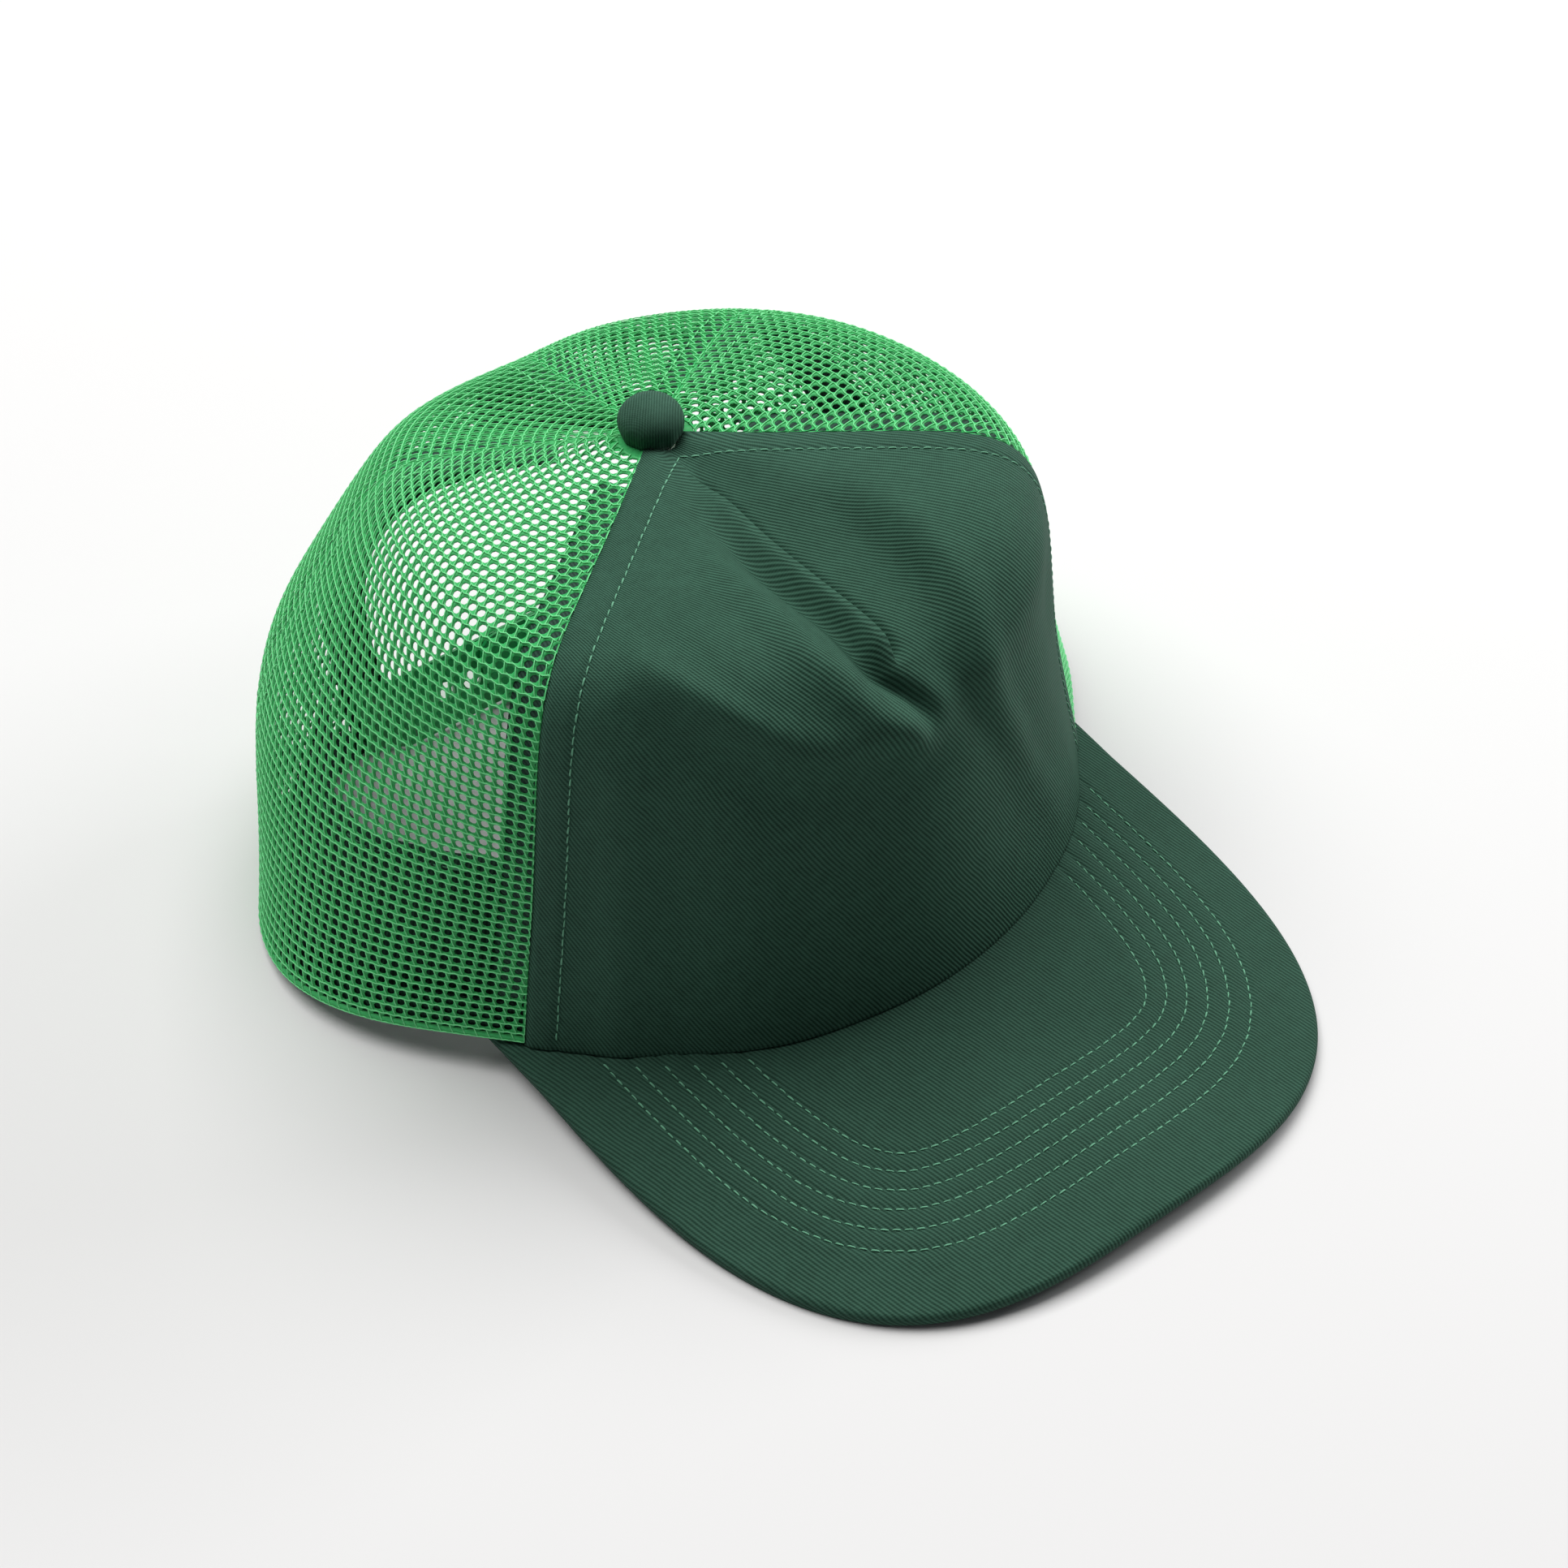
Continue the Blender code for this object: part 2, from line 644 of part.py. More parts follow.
def crown(group, cutters):
    floor_block = box_block("floor_block", (-150, -60, -20), (150, 110, 0), cutters)
    gap_cutter = opening_cutter(cutters)
    panel("front_panel", (-1, FRONT_SEAM), (1, FRONT_SEAM), FRONT_COLUMNS, group, DARK_TWILL)
    for label, side in (("left", 1), ("right", -1)):
        ends = [(side, FRONT_SEAM), (side, SIDE_SEAM)]
        beside = panel("mesh_side_" + label, *ends[::side], MESH_COLUMNS, group, GREEN_MESH)
        boolean(beside, floor_block)
        ends = [(side, SIDE_SEAM), (side, BACK_SEAM)]
        behind = panel("mesh_back_" + label, *ends[::side], MESH_COLUMNS, group, GREEN_MESH)
        boolean(behind, gap_cutter)
        boolean(behind, floor_block)
        above_hem = HEM_HEIGHT + CLEARANCE
        seam_tape("seam_tape_front_" + label, side, FRONT_SEAM,
                  rim_height(FRONT_SEAM[0]) + above_hem + 1, group)
        seam_tape("seam_tape_side_" + label, side, SIDE_SEAM,
                  rim_height(SIDE_SEAM[0]) + above_hem + 1, group)
    seam_tape("seam_tape_back", 1, BACK_SEAM, OPENING_HEIGHT + BINDING_WIDTH + 2 * CLEARANCE, group)
    opening_binding(group)
    hem(group, floor_block)
    sweatband(group)


def build():
    clear_scene()
    group = new_collection("trucker_cap")
    cutters = new_collection("cutters", hidden=True)
    crown(group, cutters)
    brim(group)
    button(group)
    strap(group)


build()
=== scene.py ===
"""Looks of the trucker mesh cap: twill, knit mesh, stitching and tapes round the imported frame."""

from math import cos, pi, radians, sin

import bpy
import numpy as np
from mathutils import Matrix, Vector


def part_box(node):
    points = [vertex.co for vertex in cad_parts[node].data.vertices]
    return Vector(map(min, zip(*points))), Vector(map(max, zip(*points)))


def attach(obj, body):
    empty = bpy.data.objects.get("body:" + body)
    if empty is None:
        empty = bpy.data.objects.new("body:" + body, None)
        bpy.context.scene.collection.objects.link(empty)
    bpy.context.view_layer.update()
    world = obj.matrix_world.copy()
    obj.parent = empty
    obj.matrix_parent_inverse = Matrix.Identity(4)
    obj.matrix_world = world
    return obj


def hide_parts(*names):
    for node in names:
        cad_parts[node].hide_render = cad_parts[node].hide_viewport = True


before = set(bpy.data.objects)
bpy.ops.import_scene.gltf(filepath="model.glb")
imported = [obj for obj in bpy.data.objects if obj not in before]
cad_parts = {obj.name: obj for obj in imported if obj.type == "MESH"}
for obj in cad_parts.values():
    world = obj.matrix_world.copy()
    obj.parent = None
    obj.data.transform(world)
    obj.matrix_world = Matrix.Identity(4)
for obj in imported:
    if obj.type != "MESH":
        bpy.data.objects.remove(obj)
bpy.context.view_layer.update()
MM = 0.001

# Crown sections in millimetres, one column for each angle round the button, as in the CAD.
STATION_ANGLES = np.array((0, 28, 55, 90, 125, 152, 180.0))
RIM_RADIUS = (106, 104.5, 103, 112, 85, 54, 46)
WAIST_RADIUS = (101, 97, 95, 100, 97, 84, 68)
SHOULDER_RADIUS = (95, 93, 88, 76, 69, 69, 60)
SHOULDER_HEIGHT = (100, 108, 107, 106, 102, 97, 100)
WAIST_HEIGHT = 45
CROWN_TOP = 106
SHOULDER_ROUND = 10
REAR_RIM_ANGLE = 120
RIM_DIP = -0.4
FRONT_SEAM = (54, 50)
SIDE_SEAM = (110, 126)
BACK_SEAM = (180, 180)
CLOTH = 0.8
TOP_T = 0.985

# Front panel: its cloth, its dart and its hem, and the columns crowded towards the dart.
FRONT_THICKNESS = 0.7
FRONT_COLUMNS = 400
FRONT_ROWS = 220
FRONT_CROWDING = 1.45
PLEAT_HEIGHT = 2.8
PLEAT_WIDTH = 4.6
CREASE_DEPTH = 3.0
CREASE_WIDTH = 0.7
LIP_REACH = 1.1
SHOULDER_LEVEL = 0.435
HEM_TUCKS = ((-0.5, -1.8), (0.2, -0.9))
HEM_RUNS = (1.6, 0.7)

# Linings.
LINING_GAP = 0.5
TAPE_DEPTH = CLOTH + LINING_GAP
TAPE_WIDTH = 16
TAPE_THICKNESS = 0.5
TAPE_TOP_RADIUS = 21
TAPE_STITCH_SHARE = 0.72
HEM_HEIGHT = 9
HEM_THICKNESS = 0.9
HEM_END = 132
SWEATBAND_HEIGHT = 36
SWEATBAND_THICKNESS = 1.4
SWEATBAND_RAISE = 1.5
SWEATBAND_LEAN = 12
SWEATBAND_DEPTH = TAPE_DEPTH + HEM_THICKNESS + LINING_GAP
SWEATBAND_END = 128

# Rear opening.
OPENING_HALF_WIDTH = 45
OPENING_SPRING = 20
OPENING_HEIGHT = 57
OPENING_SHAPE = 2.4
BINDING_WIDTH = 12
BINDING_THICKNESS = 0.6

# Brim.
BRIM_HALF_WIDTH = 86.5
BRIM_FRONT_Y = -181.5
BRIM_CORNER_Y = -70.5
BRIM_END_X = 87.3
BRIM_END_Y = -49.5
BRIM_END_ANGLE = 60
BRIM_SHAPE = 3.07
BRIM_THICKNESS = 2.8
BRIM_FRONT_RISE = 3.7
BRIM_REAR_RISE = 14.9
BRIM_ARCH = 1.146
BRIM_TO_CROWN = 1.3
BRIM_STRAIGHT_SHARE = 4 / 28
BRIM_SEAM_MARGIN = 8
BRIM_COVER = 0.45
BRIM_ROLL = 1.2
BRIM_STITCH_INSETS = (14, 19, 24, 29, 34, 39)
CHANNEL_DEPTH = 0.30
CHANNEL_WIDTH = 0.8

# Button.
BUTTON_SWELL = 1.06
BUTTON_TUCKS = 11
BUTTON_CLOTH = 0.45
BARE_CENTRE = 6.4

# Knit of the mesh: pitch of its holes, half-size of a hole, and radius of a thread.
KNIT_ACROSS = 2.9
KNIT_UP = 2.6
HOLE_ACROSS = 1.02
HOLE_UP = 0.94
THREAD = 0.16

# Stitches.
STITCH_PITCH = 2.6
STITCH_LENGTH = 1.95
STITCH_RADIUS = 0.19
TOPSTITCH_OFFSET = 7.5
MESH_STITCH_OFFSET = 5.5

# Floor in metres, and the gap in millimetres that keeps the lowest threads off it.
FLOOR_REACH = 3.0
FLOOR_FADE = (0.7, 2.4)
FLOOR_GAP = 0.04

# Camera: degrees, metres and a lens in millimetres.
CAMERA_TARGET = (-0.0049, -0.0550, 0.0400)
CAMERA_AZIMUTH = -38.389
CAMERA_ELEVATION = 44.083
CAMERA_DISTANCE = 0.700
CAMERA_ROLL = 0.25
CAMERA_LENS = 69.95


# ---- crown surface

def smooth(low, high, x):
    """0 below the first value, 1 beyond the second, and an S-curve between them."""
    u = np.clip((x - low) / (high - low), 0.0, 1.0)
    return u * u * (3 - 2 * u)


def bell(x, centre, width):
    return np.exp(-((x - centre) / width) ** 2)


def station(values, theta):
    """Smooth value round the crown, symmetric left to right."""
    v = np.array(values, float)
    a = STATION_ANGLES
    angle = np.abs((theta + 180.0) % 360.0 - 180.0)
    k = np.clip(np.searchsorted(a, angle) - 1, 0, len(a) - 2)
    slope = np.zeros(len(a))
    slope[1:-1] = (v[2:] - v[:-2]) / (a[2:] - a[:-2])
    width = a[k + 1] - a[k]
    u = (angle - a[k]) / width
    start = (1 + 2 * u) * (1 - u) ** 2 * v[k] + u * (1 - u) ** 2 * width * slope[k]
    end = u * u * (3 - 2 * u) * v[k + 1] + u * u * (u - 1) * width * slope[k + 1]
    return start + end


def spline_weights(t):
    """Weights of the nine control points of a clamped cubic B-spline."""
    knots = np.concatenate((np.zeros(3), np.arange(7) / 6, np.ones(3)))
    t = np.clip(t, 0.0, 1.0 - 1e-9)
    weights = [((t >= a) & (t < b)).astype(float) for a, b in zip(knots[:-1], knots[1:])]
    for degree in (1, 2, 3):
        risen = []
        for i in range(len(weights) - 1):
            rise, fall = knots[i + degree] - knots[i], knots[i + degree + 1] - knots[i + 1]
            value = 0.0 * t
            if rise > 0:
                value = value + (t - knots[i]) / rise * weights[i]
            if fall > 0:
                value = value + (knots[i + degree + 1] - t) / fall * weights[i + 1]
            risen.append(value)
        weights = risen
    return weights


def brim_underside(x, y):
    run = (y - BRIM_FRONT_Y) / (BRIM_END_Y - BRIM_FRONT_Y)
    return BRIM_FRONT_RISE + (BRIM_REAR_RISE - BRIM_FRONT_RISE) * run - BRIM_ARCH * x * x * MM


def rim_height(theta):
    angle = np.abs((theta + 180.0) % 360.0 - 180.0)
    held = np.radians(np.minimum(angle, BRIM_END_ANGLE))
    radius = station(RIM_RADIUS, np.degrees(held))
    on_brim = brim_underside(radius * np.sin(held), -radius * np.cos(held))
    on_brim = on_brim + BRIM_THICKNESS + BRIM_TO_CROWN
    u = np.clip((angle - BRIM_END_ANGLE) / (REAR_RIM_ANGLE - BRIM_END_ANGLE), 0.0, 1.0)
    return RIM_DIP + (on_brim - RIM_DIP) * (0.5 + 0.5 * np.cos(pi * u ** 0.75))


def crown_profile(theta, t):
    theta, t = np.broadcast_arrays(np.asarray(theta, float), np.asarray(t, float))
    rim, low, waist = station(RIM_RADIUS, theta), rim_height(theta), station(WAIST_RADIUS, theta)
    shoulder, high = station(SHOULDER_RADIUS, theta), station(SHOULDER_HEIGHT, theta)
    radii = (rim, (rim + waist) / 2, waist, (waist + shoulder) / 2, shoulder,
             shoulder - SHOULDER_ROUND, shoulder * 0.62, shoulder * 0.30, 0.0 * rim)
    heights = (low, (low + WAIST_HEIGHT) / 2, WAIST_HEIGHT + 0.0 * low,
               WAIST_HEIGHT + (high - WAIST_HEIGHT) * 0.42, high - 1.2 * SHOULDER_ROUND, high,
               high + 0.5, (high + CROWN_TOP) / 2, CROWN_TOP + 0.0 * low)
    weights = spline_weights(t)
    return sum(w * r for w, r in zip(weights, radii)), sum(w * z for w, z in zip(weights, heights))


def crown_face(theta, t):
    radius, height = crown_profile(theta, t)
    turn = np.radians(theta)
    return np.stack((radius * np.sin(turn), -radius * np.cos(turn), height), axis=-1)


def unit(v):
    return v / np.maximum(np.linalg.norm(v, axis=-1, keepdims=True), 1e-9)


def crown_normal(theta, t):
    across = crown_face(theta + 0.4, t) - crown_face(theta - 0.4, t)
    above, below = np.minimum(t + 0.003, 1.0), np.maximum(t - 0.003, 0.0)
    upward = crown_face(theta, above) - crown_face(theta, below)
    return unit(np.cross(across, upward))


def crown_point(theta, t, depth=0.0):
    """Point at a depth in millimetres below the crown's outer face."""
    depth = np.asarray(depth, float)
    return crown_face(theta, t) - crown_normal(theta, t) * depth[..., None]


def level_where(theta, test):
    """Height parameter where a rising test on (radius, height) first holds."""
    theta = np.asarray(theta, float)
    low, high = np.zeros(theta.shape), np.ones(theta.shape)
    for _ in range(22):
        middle = (low + high) / 2
        held = test(*crown_profile(theta, middle))
        high, low = np.where(held, middle, high), np.where(held, low, middle)
    return (low + high) / 2


def level_at_height(theta, height):
    return level_where(theta, lambda radius, z: (z >= height) | (radius < 40))


def seam_angle(seam, t):
    """Angle of a seam at a level: it goes straight from its rim angle to its top angle."""
    return seam[0] + (seam[1] - seam[0]) * t


def mirrored(seam):
    return (-seam[0], -seam[1])


def wall_angle(x, z):
    """Angle and level of the rear wall's point that has the given x and z."""
    side = np.where(x >= 0, 1.0, -1.0)
    low, high = np.full(x.shape, 95.0), np.full(x.shape, 180.0)
    for _ in range(22):
        theta = (low + high) / 2
        radius = crown_profile(theta, level_at_height(theta, z))[0]
        outside = radius * np.sin(np.radians(theta)) > np.abs(x)
        low, high = np.where(outside, theta, low), np.where(outside, high, theta)
    theta = side * (low + high) / 2
    return theta, level_at_height(theta, z)


# ---- mesh building

def add_piece(name, points, quads, material, body="cap", uv=None, stands_for=()):
    """Mesh piece from points in millimetres and rows of four indices, riding on a CAD body."""
    mesh = bpy.data.meshes.new(name)
    points = np.asarray(points, float).reshape(-1, 3)
    quads = np.asarray(quads, int).reshape(-1, 4)
    mesh.vertices.add(len(points))
    mesh.vertices.foreach_set("co", (points * MM).astype(np.float32).ravel())
    mesh.loops.add(quads.size)
    mesh.loops.foreach_set("vertex_index", quads.astype(np.int32).ravel())
    mesh.polygons.add(len(quads))
    mesh.polygons.foreach_set("loop_start", np.arange(0, quads.size, 4, dtype=np.int32))
    mesh.polygons.foreach_set("use_smooth", np.ones(len(quads), bool))
    if uv is not None:
        layer = mesh.uv_layers.new(name="cloth")
        layer.data.foreach_set("uv", (np.asarray(uv, float).reshape(-1, 2)[quads.ravel()] * MM).ravel())
    mesh.update(calc_edges=True)
    mesh.validate()
    piece = placed(name, mesh)
    mesh.materials.append(material)
    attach(piece, body)
    if stands_for:
        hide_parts(*stands_for)
    return piece


def placed(name, data):
    """New object in the scene's collection."""
    item = bpy.data.objects.new(name, data)
    bpy.context.scene.collection.objects.link(item)
    return item


def grid_quads(rows, columns, closed=False):
    """Indices of the quads of a grid of points."""
    last = columns if closed else columns - 1
    r, c = np.meshgrid(np.arange(rows - 1), np.arange(last), indexing="ij")
    a = r * columns + c
    b = r * columns + (c + 1) % columns
    return np.stack((a, b, b + columns, a + columns), axis=-1).reshape(-1, 4)


def thicken(piece, thickness):
    """Give a sheet its thickness in millimetres, inwards from its face."""
    shell = piece.modifiers.new("thickness", "SOLIDIFY")
    shell.thickness = thickness * MM
    shell.offset = -1.0
    return piece


def lengths(points):
    """Running length along the second-last axis of an array of points."""
    steps = np.linalg.norm(np.diff(points, axis=-2), axis=-1)
    zero = np.zeros(steps.shape[:-1] + (1,))
    return np.concatenate((zero, np.cumsum(steps, axis=-1)), axis=-1)


def tubes(points, normals, valid, width, height, sides=4):
    """Points and quads of threads.

    points and normals are (threads, steps, 3), and valid is (threads, steps)."""
    along = unit(np.gradient(points, axis=1))
    aside = unit(np.cross(along, normals))
    turns = 2 * pi * (np.arange(sides) + 0.5) / sides
    width, height = np.asarray(width, float), np.asarray(height, float)
    ring = (points[:, :, None] + aside[:, :, None] * (width[..., None, None] * np.cos(turns)[:, None])
            + normals[:, :, None] * (height[..., None, None] * np.sin(turns)[:, None]))
    threads, steps = valid.shape
    index = np.arange(threads * steps * sides).reshape(threads, steps, sides)
    a, b = index[:, :-1], index[:, 1:]
    quads = np.stack((a, np.roll(a, -1, axis=2), np.roll(b, -1, axis=2), b), axis=-1)
    kept = valid[:, :-1] & valid[:, 1:]
    return ring.reshape(-1, 3), quads[kept].reshape(-1, 4)


def joined(parts):
    """One (points, quads) pair from several."""
    points, quads, count = [], [], 0
    for p, q in parts:
        points.append(p)
        quads.append(q + count)
        count += len(p)
    points, quads = np.concatenate(points), np.concatenate(quads)
    used, quads = np.unique(quads, return_inverse=True)
    return points[used], quads.reshape(-1, 4)


def stitches(name, lines, material, radius=STITCH_RADIUS):
    """Row of thread dashes along each (points, normals) line, as one piece."""
    steps = np.array((-0.5, -0.38, -0.15, 0.15, 0.38, 0.5))
    rise = np.array((-1.1, 0.1, 0.45, 0.45, 0.1, -1.1)) * radius
    fat = np.array((0.45, 0.9, 1.0, 1.0, 0.9, 0.45)) * radius
    parts = []
    for points, normals in lines:
        run = lengths(points)
        centres = np.arange(0.6 * STITCH_PITCH, run[-1] - 0.5 * STITCH_PITCH, STITCH_PITCH)
        at = np.clip(centres[:, None] + steps * STITCH_LENGTH, 0, run[-1])
        p = np.stack([np.interp(at, run, points[:, k]) for k in range(3)], axis=-1)
        n = unit(np.stack([np.interp(at, run, normals[:, k]) for k in range(3)], axis=-1))
        aside = unit(np.cross(np.gradient(p, axis=1), n))
        turn = 0.16 * np.sin(centres * 7.3)[:, None] * steps + 0.07 * np.sin(centres * 3.1)[:, None]
        p = p + n * rise[:, None] + aside * turn[..., None]
        size = fat * (1 + 0.18 * np.sin(centres * 5.7))[:, None]
        parts.append(tubes(p, n, np.ones(at.shape, bool), size, size * 0.8, sides=6))
    points, quads = joined(parts)
    add_piece(name, points, quads, material)


# ---- materials

# Twill: rib pitch, relief and drift of the weave, in metres.
TWILL_PITCH = 0.00090
TWILL_RELIEF = 0.00030
WEAVE_DRIFT = 0.0009

DARK_GREEN = (0.006, 0.030, 0.017)
LIT_GREEN = (0.049, 0.134, 0.091)
# The brim's lit colour is the front twill's lit colour darkened: painted shade for the weaker light on
# the brim.
BRIM_SHADED_GREEN = (0.041, 0.110, 0.076)


def new_material(name):
    material = bpy.data.materials.new(name)
    material.use_nodes = True
    nodes = material.node_tree.nodes
    return material, nodes, material.node_tree.links, nodes["Principled BSDF"]


def math_node(nodes, links, kind, first, second):
    """Maths on two values, each a socket or a number."""
    node = nodes.new("ShaderNodeMath")
    node.operation = kind
    for socket, value in zip(node.inputs, (first, second)):
        if hasattr(value, "links"):
            links.new(value, socket)
        else:
            socket.default_value = value
    return node.outputs[0]


def weighted_sum(nodes, links, terms, start=0.0):
    """Start value plus each socket times its weight."""
    total = start
    for socket, weight in terms:
        share = math_node(nodes, links, "MULTIPLY", socket, weight)
        total = math_node(nodes, links, "ADD", share, total)
    return total


def set_inputs(node, values):
    for name, value in values.items():
        node.inputs[name].default_value = value


def noise_node(nodes, links, coords, scale, detail=2.0, roughness=0.5):
    node = nodes.new("ShaderNodeTexNoise")
    set_inputs(node, {"Scale": scale, "Detail": detail, "Roughness": roughness})
    links.new(coords, node.inputs["Vector"])
    return node


def mix_colours(nodes, links, share, first, second):
    """Colour between two, all second where the share is 1."""
    node = nodes.new("ShaderNodeMix")
    node.data_type = "RGBA"
    links.new(share, node.inputs["Factor"])
    for name, colour in (("A", first), ("B", second)):
        socket = [s for s in node.inputs if s.name == name and s.type == "RGBA"][0]
        socket.default_value = (*colour, 1.0)
    return [s for s in node.outputs if s.type == "RGBA"][0]


def rib_waves(nodes, links, coords, angle, pitch):
    """Sine bands across the cloth, 0 to 1, at an angle in degrees and a pitch in metres."""
    split = nodes.new("ShaderNodeSeparateXYZ")
    links.new(coords, split.inputs[0])
    turn, waves = radians(angle), 2 * pi / pitch
    phase = weighted_sum(nodes, links, ((split.outputs["X"], cos(turn) * waves),
                                        (split.outputs["Y"], sin(turn) * waves)))
    wave = math_node(nodes, links, "SINE", phase, 0.0)
    return weighted_sum(nodes, links, ((wave, 0.5),), 0.5)


def bump_from(nodes, links, shader, height, strength, distance):
    bump = nodes.new("ShaderNodeBump")
    set_inputs(bump, {"Strength": strength, "Distance": distance})
    links.new(height, bump.inputs["Height"])
    links.new(bump.outputs[0], shader.inputs["Normal"])


def cloth_coordinates(nodes, links, place):
    """The piece's own cloth coordinates, shifted a little so that ribs aren't ruled lines."""
    cloth = nodes.new("ShaderNodeUVMap")
    cloth.uv_map = "cloth"
    drift = noise_node(nodes, links, place, 90.0, 1.0)
    shifted = nodes.new("ShaderNodeVectorMath")
    shifted.operation = "MULTIPLY_ADD"
    links.new(drift.outputs["Color"], shifted.inputs[0])
    shifted.inputs[1].default_value = (WEAVE_DRIFT, WEAVE_DRIFT, 0.0)
    links.new(cloth.outputs[0], shifted.inputs[2])
    return shifted.outputs[0]


def twill_material(name, dark, light, angle, pitch=TWILL_PITCH, ribs_share=0.74):
    """Diagonal twill: dark furrows between lit ribs, uneven yarns and a soft sheen."""
    material, nodes, links, shader = new_material(name)
    place = nodes.new("ShaderNodeTexCoord").outputs["Object"]
    coords = cloth_coordinates(nodes, links, place)
    ribs = rib_waves(nodes, links, coords, angle, pitch)
    yarns = rib_waves(nodes, links, coords, angle + 63, pitch * 0.62)
    grain = noise_node(nodes, links, place, 1300.0, 3.0, 0.75).outputs["Fac"]
    blotches = noise_node(nodes, links, place, 330.0, 2.0, 0.6).outputs["Fac"]
    patches = noise_node(nodes, links, place, 24.0, 3.0).outputs["Fac"]
    weave = weighted_sum(nodes, links, ((ribs, ribs_share), (yarns, 0.14)))
    uneven = ((grain, 0.36), (blotches, 0.36), (patches, 0.30))
    tone = math_node(nodes, links, "ADD", weave, weighted_sum(nodes, links, uneven, -0.40))
    tone.node.use_clamp = True
    links.new(mix_colours(nodes, links, tone, dark, light), shader.inputs["Base Color"])
    links.new(weighted_sum(nodes, links, ((blotches, 0.16),), 0.74), shader.inputs["Roughness"])
    set_inputs(shader, {"Specular IOR Level": 0.16, "Sheen Weight": 0.08, "Sheen Roughness": 0.5,
                        "Sheen Tint": (*light, 1.0)})
    bump_from(nodes, links, shader, weave, 0.55, TWILL_RELIEF)
    return material


def yarn_material(name, dark, light, scale=900.0, roughness=0.6):
    """Knitted or sewing yarn: fibres along it and slow changes of tone."""
    material, nodes, links, shader = new_material(name)
    place = nodes.new("ShaderNodeTexCoord").outputs["Object"]
    fibres = noise_node(nodes, links, place, scale, 3.0, 0.6).outputs["Fac"]
    patches = noise_node(nodes, links, place, 45.0, 2.0).outputs["Fac"]
    tone = weighted_sum(nodes, links, ((fibres, 0.6), (patches, 0.4)))
    links.new(mix_colours(nodes, links, tone, dark, light), shader.inputs["Base Color"])
    links.new(weighted_sum(nodes, links, ((fibres, 0.2),), roughness - 0.1), shader.inputs["Roughness"])
    set_inputs(shader, {"Specular IOR Level": 0.3, "Sheen Weight": 0.2, "Sheen Tint": (*light, 1.0)})
    bump_from(nodes, links, shader, fibres, 0.5, 0.0001)
    return material


def plastic_material(name, dark, light, roughness, coat=0.0):
    """Moulded plastic: fine pebbled skin, faint flow marks and scuffs."""
    material, nodes, links, shader = new_material(name)
    place = nodes.new("ShaderNodeTexCoord").outputs["Object"]
    pebbles = noise_node(nodes, links, place, 1400.0, 2.0).outputs["Fac"]
    flow = noise_node(nodes, links, place, 60.0, 4.0, 0.6).outputs["Fac"]
    links.new(mix_colours(nodes, links, flow, dark, light), shader.inputs["Base Color"])
    links.new(weighted_sum(nodes, links, ((flow, 0.2),), roughness - 0.1), shader.inputs["Roughness"])
    set_inputs(shader, {"Coat Weight": coat})
    bump_from(nodes, links, shader, pebbles, 0.25, 0.00005)
    return material


def metal_material(name):
    """Nickel-plated steel with fine handling marks."""
    material = plastic_material(name, (0.50, 0.50, 0.49), (0.66, 0.66, 0.65), 0.30)
    set_inputs(material.node_tree.nodes["Principled BSDF"], {"Metallic": 1.0})
    return material


front_twill = twill_material("front_twill", DARK_GREEN, LIT_GREEN, angle=32)
# Brim cloth: the front twill with a darker lit colour, as painted shade.
brim_shaded_twill = twill_material("brim_shaded_twill", DARK_GREEN, BRIM_SHADED_GREEN, angle=12)
button_twill = twill_material("button_twill", (0.012, 0.046, 0.029), (0.080, 0.190, 0.134), angle=-40,
                              pitch=0.0006, ribs_share=0.4)
tape_twill = twill_material("tape_twill", (0.010, 0.030, 0.021), (0.034, 0.082, 0.058), angle=45)
band_twill = twill_material("band_twill", (0.010, 0.032, 0.022), (0.036, 0.088, 0.062), angle=40)
# Mesh: one yarn in two copies, the web behind the threads darker as painted shade and the threads on top
# lighter as painted light.
shaded_web_yarn = yarn_material("mesh_web_shaded", (0.026, 0.345, 0.090), (0.068, 0.550, 0.172), roughness=0.5)
lit_thread_yarn = yarn_material("mesh_thread_lit", (0.130, 0.700, 0.245), (0.250, 0.850, 0.390), roughness=0.45)
stitch_yarn = yarn_material("stitch_thread", (0.085, 0.300, 0.175), (0.190, 0.450, 0.300), 2400.0)
strap_plastic = plastic_material("strap_plastic", (0.016, 0.420, 0.105), (0.030, 0.500, 0.140), 0.32, 0.3)
board_plastic = plastic_material("board_plastic", (0.62, 0.62, 0.60), (0.74, 0.74, 0.72), 0.5)
steel = metal_material("button_steel")


# ---- front panel

def forward_run(point):
    """Distance in millimetres from the button, forward over the top and down the front wall."""
    return -point[..., 1] + 0.6 * np.maximum(96 - point[..., 2], 0)


def crease_x(along):
    """Where the dart's crease runs: to the right of the middle at first, then to its left."""
    return -2.2 * smooth(2, 24, along) + 3.4 * smooth(38, 84, along)


def dart_share(along):
    """How far the dart stands out of the cloth, from 0 to 1."""
    return smooth(4, 30, along) * (1 - smooth(80, 87, along))


def dart_relief(x, along):
    """Sewn dart: a pleat that folds over a sharp crease, and ends in a rounded nose."""
    side = x - crease_x(along)
    pleat = PLEAT_HEIGHT * smooth(0.2, -0.5, side) * bell(np.minimum(side + 1.2, 0), 0, PLEAT_WIDTH)
    beyond = np.where(side < 0.5, side - 0.5, (side - 0.5) / 2.8)
    return dart_share(along) * (pleat - CREASE_DEPTH * bell(beyond, 0, CREASE_WIDTH))


def fold(x, along, height, opens, closes, centre, width):
    """Ridge, or valley if the height is negative, along a centre line that runs forward."""
    return height * smooth(*opens, along) * (1 - smooth(*closes, along)) * bell(x, centre, width)


